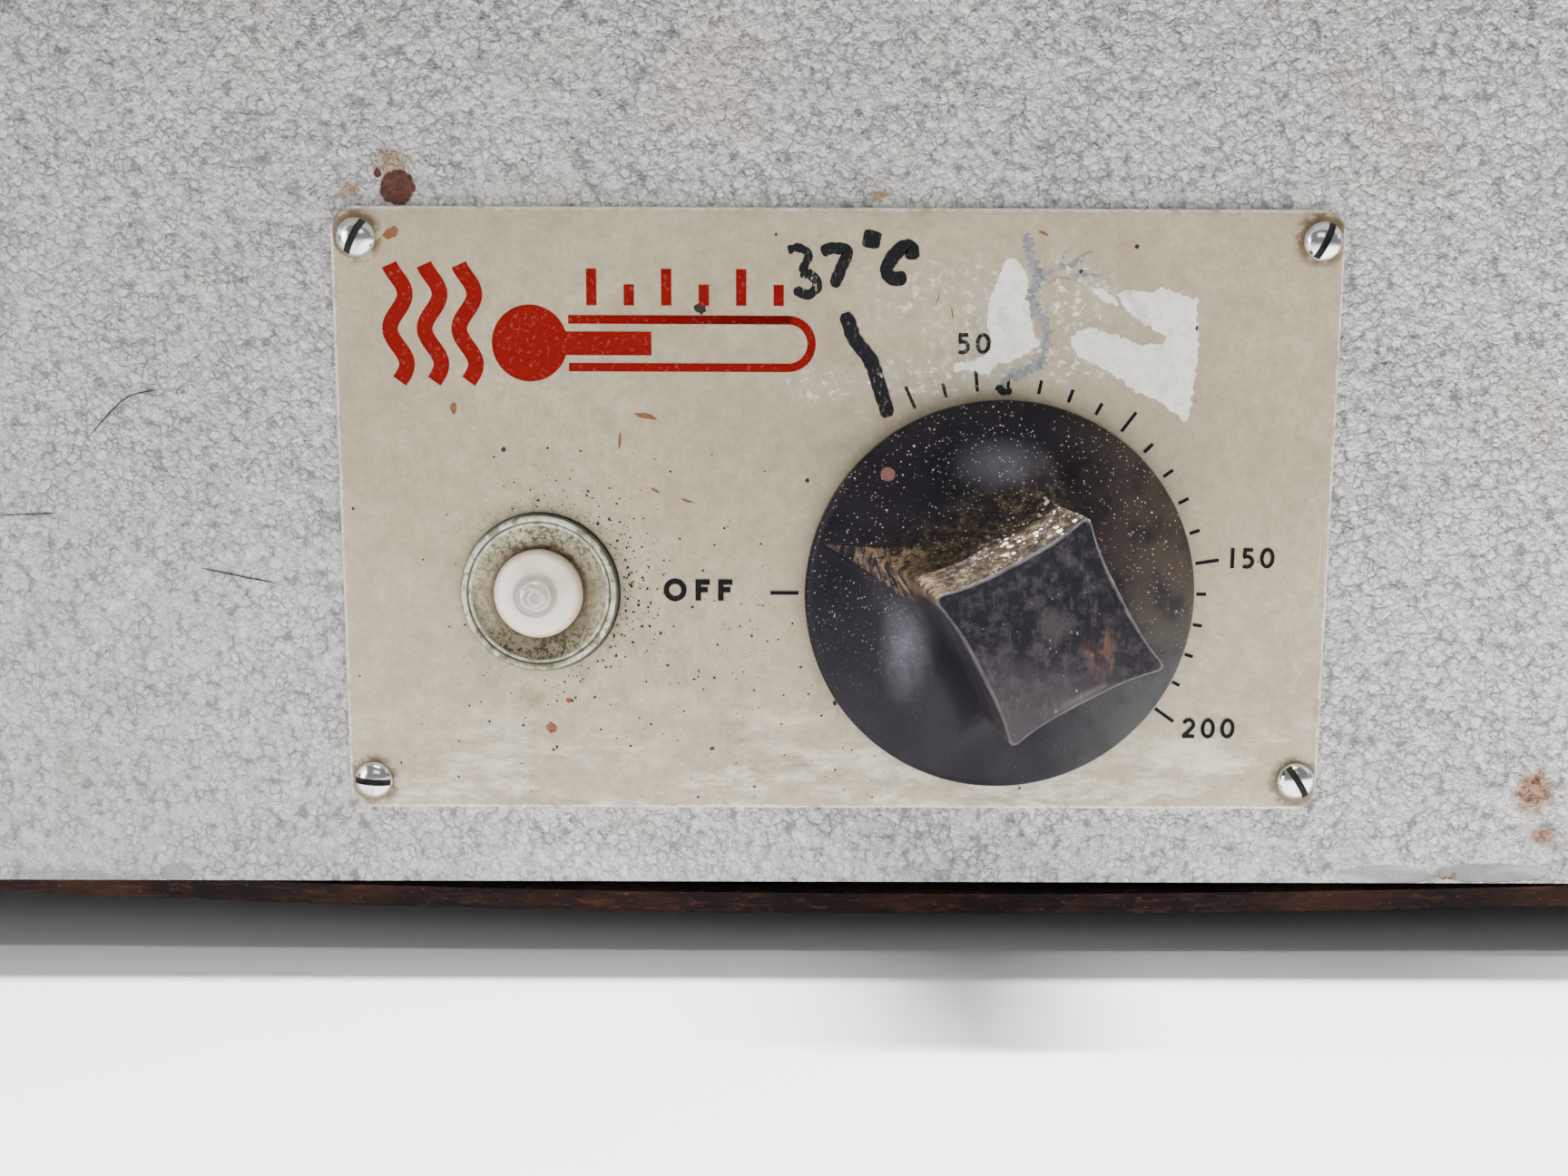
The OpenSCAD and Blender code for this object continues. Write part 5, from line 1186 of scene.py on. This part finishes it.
# three loops of glass, one behind another, inside the clear end
SWIRL_R, AROUND, ACROSS = 0.00022, 36, 8
for i, (dx, dz, r) in enumerate(((0.0001, 0.0, 0.0017), (-0.00035, -0.0003, 0.0012),
                                 (0.0004, -0.0002, 0.0010))):
    levels = []
    for c, s in circle(AROUND):
        at = Vector((LAMP_X + dx + r * c, PANEL_Y - 0.0045 - i * 0.0006, LAMP_Z + dz + r * s))
        out, back = Vector((c, 0, s)), Vector((0, 1, 0))
        levels.append([at + SWIRL_R * (c2 * out + s2 * back) for c2, s2 in circle(ACROSS)])
    v, f = rings(levels + levels[:1], False, False)
    mesh_object(f"lamp_swirl_{i}", v, f, "glass_ring", "cabinet")


# ---------------------------------------------------------------- knob

def knob():
    """Skirt, flare and four-eared grip as one moulding."""
    turn = math.radians(GRIP_TURN)
    n = 288
    front = PANEL_Y - KNOB_FRONT

    def outline(r):
        """Distance from the axis at each angle, for a grip of half diagonal r."""
        h, pinch = r * math.cos(math.pi / 4), 0.00115
        straight = 0.86                 # share of a half side before its ear rounds over
        side = []
        for i in range(41):
            s = straight * (2 * i / 40 - 1)
            side.append((h - pinch * (1 - abs(s) ** 3.2), h * s))
        x0, z0 = side[-1]
        corner = h * 0.99
        for i in range(1, 9):
            t = i / 9
            side.append(((1 - t) ** 2 * x0 + 2 * t * (1 - t) * corner + t * t * z0,
                         (1 - t) ** 2 * z0 + 2 * t * (1 - t) * corner + t * t * x0))
        pts = []
        for c, s in circle(4):
            pts += [(x * c - z * s, x * s + z * c) for x, z in side]
        full = 2 * math.pi
        by_angle = sorted((math.atan2(z, x) % full, math.hypot(x, z)) for x, z in pts)
        first, last = by_angle[0], by_angle[-1]
        by_angle = [(last[0] - full, last[1])] + by_angle + [(first[0] + full, first[1])]
        out, j = [], 0
        for k in range(n):
            a = full * k / n
            while by_angle[j + 1][0] < a:
                j += 1
            (a0, r0), (a1, r1) = by_angle[j], by_angle[j + 1]
            out.append(r0 + (r1 - r0) * (a - a0) / (a1 - a0))
        return out

    top, base = outline(0.0150), outline(0.0161)
    R = KNOB_R
    levels, layers = [], {"grip": [], "wear": [], "face": []}

    def level(points, grip=0.0, wear=0.0, face=0.0):
        """One loop of (radius, distance out), with how much it counts as each layer."""
        loop = []
        for k, (r, h) in enumerate(points):
            a = 2 * math.pi * k / n + turn
            loop.append((KNOB_X + r * math.cos(a), PANEL_Y - h, KNOB_Z + r * math.sin(a)))
        levels.append(loop)
        for key, value in (("grip", grip), ("wear", wear), ("face", face)):
            layers[key].append(value)

    for r, h in ((R - 0.0030, 0.0010), (R - 0.0004, 0.0010), (R - 0.0001, 0.0012), (R, 0.0016),
                 (R, 0.0034), (R - 0.0001, 0.0038), (R - 0.0004, 0.0041)):
        level([(r, h)] * n)

    def skirt(r):
        """How far out the skirt's face is at a radius."""
        return 0.0041 + 0.0046 * (1 - (min(r, R) / R) ** 1.6)

    # each spoke runs up the skirt, through a hollow and up the grip's side
    spokes = []
    for k in range(n):
        foot, tip = base[k], top[k]
        hollow = min(0.0085, (R - 0.0012 - foot))
        r_in, low = foot + hollow, skirt(foot)
        high = low + 0.0035 + hollow * 1.15

        def side(h):
            return foot + (tip - foot) * (h - low) / (front - low)

        start, corner, end = (r_in, skirt(r_in)), (foot, low), (side(high), high)
        edge = R - 0.0004
        path = [(r, skirt(r)) for r in [edge + (r_in - edge) * i / 8 for i in range(1, 9)]]
        for i in range(1, 19):
            t = i / 18
            path.append(tuple((1 - t) ** 2 * p + 2 * t * (1 - t) * q + t * t * s
                              for p, q, s in zip(start, corner, end)))
        for i in range(1, 15):
            h = high + (front - 0.0005 - high) * i / 14
            path.append((side(h), h))
        spokes.append(path)
    count = len(spokes[0])
    for i in range(count):
        level([spoke[i] for spoke in spokes], min(1, max(0, (i - 9) / 12)),
              0.25 if i == count - 1 else 0)
    # the rubbed arris: inset, depth, wear, face
    for d, h, w, f in ((0.00006, 0.00027, 0.8, 0.1), (0.00016, 0.00011, 1.0, 0.5),
                       (0.00031, 0.00003, 0.9, 0.9), (0.00050, 0.0, 0.3, 1), (0.00070, 0.0, 0, 1)):
        level([(r - d, front - h) for r in top], 1, w, f)
    # the slightly dished face
    for s, dish in ((0.93, 0.00002), (0.84, 0.00008), (0.70, 0.00018), (0.52, 0.0003),
                    (0.34, 0.00038), (0.16, 0.00043), (0.03, 0.00044)):
        level([(r * s, front - dish) for r in top], 1, 0, 1)
    v, f = rings(levels)
    o = mesh_object("knob_moulding", v, f, "bakelite", "knob")
    for name, values in layers.items():
        layer = o.data.attributes.new(name, "FLOAT", "POINT")
        layer.data.foreach_set("value", [values[i // n] for i in range(len(v))])
    clean(o, 0)
    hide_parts("knob")


knob()

# ---------------------------------------------------------------- door skin

# the sheet's edges roll in, from its open back to the flat front
lo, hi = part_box("door_skin")
DW, DH = hi.x - lo.x, hi.z - lo.z
DX, DZ = (lo.x + hi.x) / 2, (lo.z + hi.z) / 2
levels = []
for inset, y in ((0.0012, hi.y - 0.0002), (0.0002, hi.y), (0.0, hi.y - 0.0004), (0.0, lo.y + 0.006),
                 (0.0002, lo.y + 0.0044), (0.0008, lo.y + 0.0027), (0.0019, lo.y + 0.0012),
                 (0.0034, lo.y + 0.0003), (0.0052, lo.y), (0.03, lo.y)):
    levels.append([(DX + x, y, DZ + z) for x, z in
                   rounded(DW - 2 * inset, DH - 2 * inset, max(0.004, 0.014 - inset * 0.9), 14)])
v, f = rings(levels, False, True)
door = clean(mesh_object("door_shell", v, f, "hammered", "door", sharp=50))
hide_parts("door_skin")


def hair(name, pts, thick):
    """A hair caught on the enamel below the door."""
    path = curve_points(pts, 10)
    levels = []
    for i, (x, z) in enumerate(path):
        x0, z0 = path[max(i - 1, 0)]
        x1, z1 = path[min(i + 1, len(path) - 1)]
        d = math.hypot(x1 - x0, z1 - z0)
        across, out = Vector((-(z1 - z0) / d, 0, (x1 - x0) / d)), Vector((0, -1, 0))
        w = thick * min(1, (min(i, len(path) - 1 - i) + 0.5) / 5)
        at = on_panel(x, z)
        at.y = CASE_LO.y - 0.00006
        levels.append([at + MM * w * (c * across + s * out) for c, s in circle(6)])
    v, f = rings(levels)
    clean(mesh_object(name, v, f, "dirt", "cabinet"))


hair("hair_a", [(-110.5, 10.6), (-106.4, 15.0), (-103.5, 17.2), (-99.5, 18.1)], 0.09)
hair("hair_b", [(-94.7, -8.1), (-89.3, -9.2), (-82.8, -10.5)], 0.11)
hair("hair_c", [(-124.5, -0.4), (-119.0, -0.2), (-115.4, 0.0)], 0.08)

# ---------------------------------------------------------------- stage, light, camera

HALF, CELLS = 4.0, 8                    # the bench: half its width in metres, and its cells
line = [-HALF + 2 * HALF * i / CELLS for i in range(CELLS + 1)]
row = CELLS + 1
me = bpy.data.meshes.new("bench")
me.from_pydata([(x, y, -0.0002) for y in line for x in line], [],
               [(j * row + i, j * row + i + 1, (j + 1) * row + i + 1, (j + 1) * row + i)
                for j in range(CELLS) for i in range(CELLS)])
bench = bpy.data.objects.new("bench", me)
bpy.context.scene.collection.objects.link(bench)
bench.data.materials.append(bench_top())

world = bpy.data.worlds.new("studio")
bpy.context.scene.world = world
world.use_nodes = True
sky = world.node_tree.nodes["Background"]
sky.inputs["Color"].default_value = (0.92, 0.95, 1.0, 1)
sky.inputs["Strength"].default_value = 0.25


def softbox(name, at, aim, w, h, power, colour=(1, 1, 1), spread=180):
    """An area light in metres and watts that the camera doesn't see."""
    light = bpy.data.lights.new(name, "AREA")
    light.spread = math.radians(spread)
    light.shape, light.size, light.size_y = "RECTANGLE", w, h
    light.energy, light.color = power, colour
    o = bpy.data.objects.new(name, light)
    o.location = at
    d = (Vector(aim) - Vector(at)).normalized()
    # width stays level with the bench's front edge, so the door's shadow is a clean line
    o.rotation_euler = (math.asin(d.y), math.atan2(-d.x, -d.z), 0)
    o.visible_camera = False
    bpy.context.scene.collection.objects.link(o)


# a long thin light over the bench: the door's edge throws the sharp shadow on the bench
softbox("bench_light", (0.32, -0.469, 1.25), (0.32, -0.22, 0), 1.00, 0.02, 23, spread=78)
softbox("bench_fill", (0.05, -0.73, 1.20), (0.0, -0.22, 0), 0.60, 0.10, 1.5, spread=90)
softbox("low_left", (-0.50, -0.50, 0.16), (-0.10, -0.15, 0.07), 0.30, 0.20, 0.2,
        (1.0, 0.99, 0.97), 60)
softbox("key", (0.08, -1.45, 0.72), (0, -0.15, 0.10), 0.6, 0.3, 1.4, (1.0, 0.985, 0.955))
softbox("left", (-1.6, -0.7, 0.9), (0, 0.05, 0.2), 1.0, 1.2, 8, (0.94, 0.97, 1.0))
softbox("right", (1.7, -0.2, 1.0), (0, 0.05, 0.2), 1.0, 1.2, 6, (1.0, 0.99, 0.97))
softbox("rear", (0.5, 2.0, 1.3), (0, 0.1, 0.25), 2.0, 1.4, 42, (1.0, 0.99, 0.98))
softbox("top", (0.0, 0.25, 2.3), (0, 0.15, 0.5), 1.8, 1.6, 16)

cam = bpy.data.cameras.new("camera")
cam.lens, cam.sensor_width = 29.17, 36
cam.clip_start, cam.clip_end = 0.01, 20
camera = bpy.data.objects.new("camera", cam)
# the photograph's view, solved from the panel, the knob's circles and the dial's marks
right = Vector((0.99999, -0.0026, 0.0036))
up = Vector((-0.003266, 0.118719, 0.992923))
forward = Vector((0.003009, 0.992924, -0.118709))
eye = Vector((PANEL_X - 0.008243, PANEL_Y - 0.186929, PANEL_Z + 0.011672))
camera.matrix_world = Matrix((
    (right.x, up.x, -forward.x, eye.x), (right.y, up.y, -forward.y, eye.y),
    (right.z, up.z, -forward.z, eye.z), (0, 0, 0, 1)))
bpy.context.scene.collection.objects.link(camera)
bpy.context.scene.camera = camera
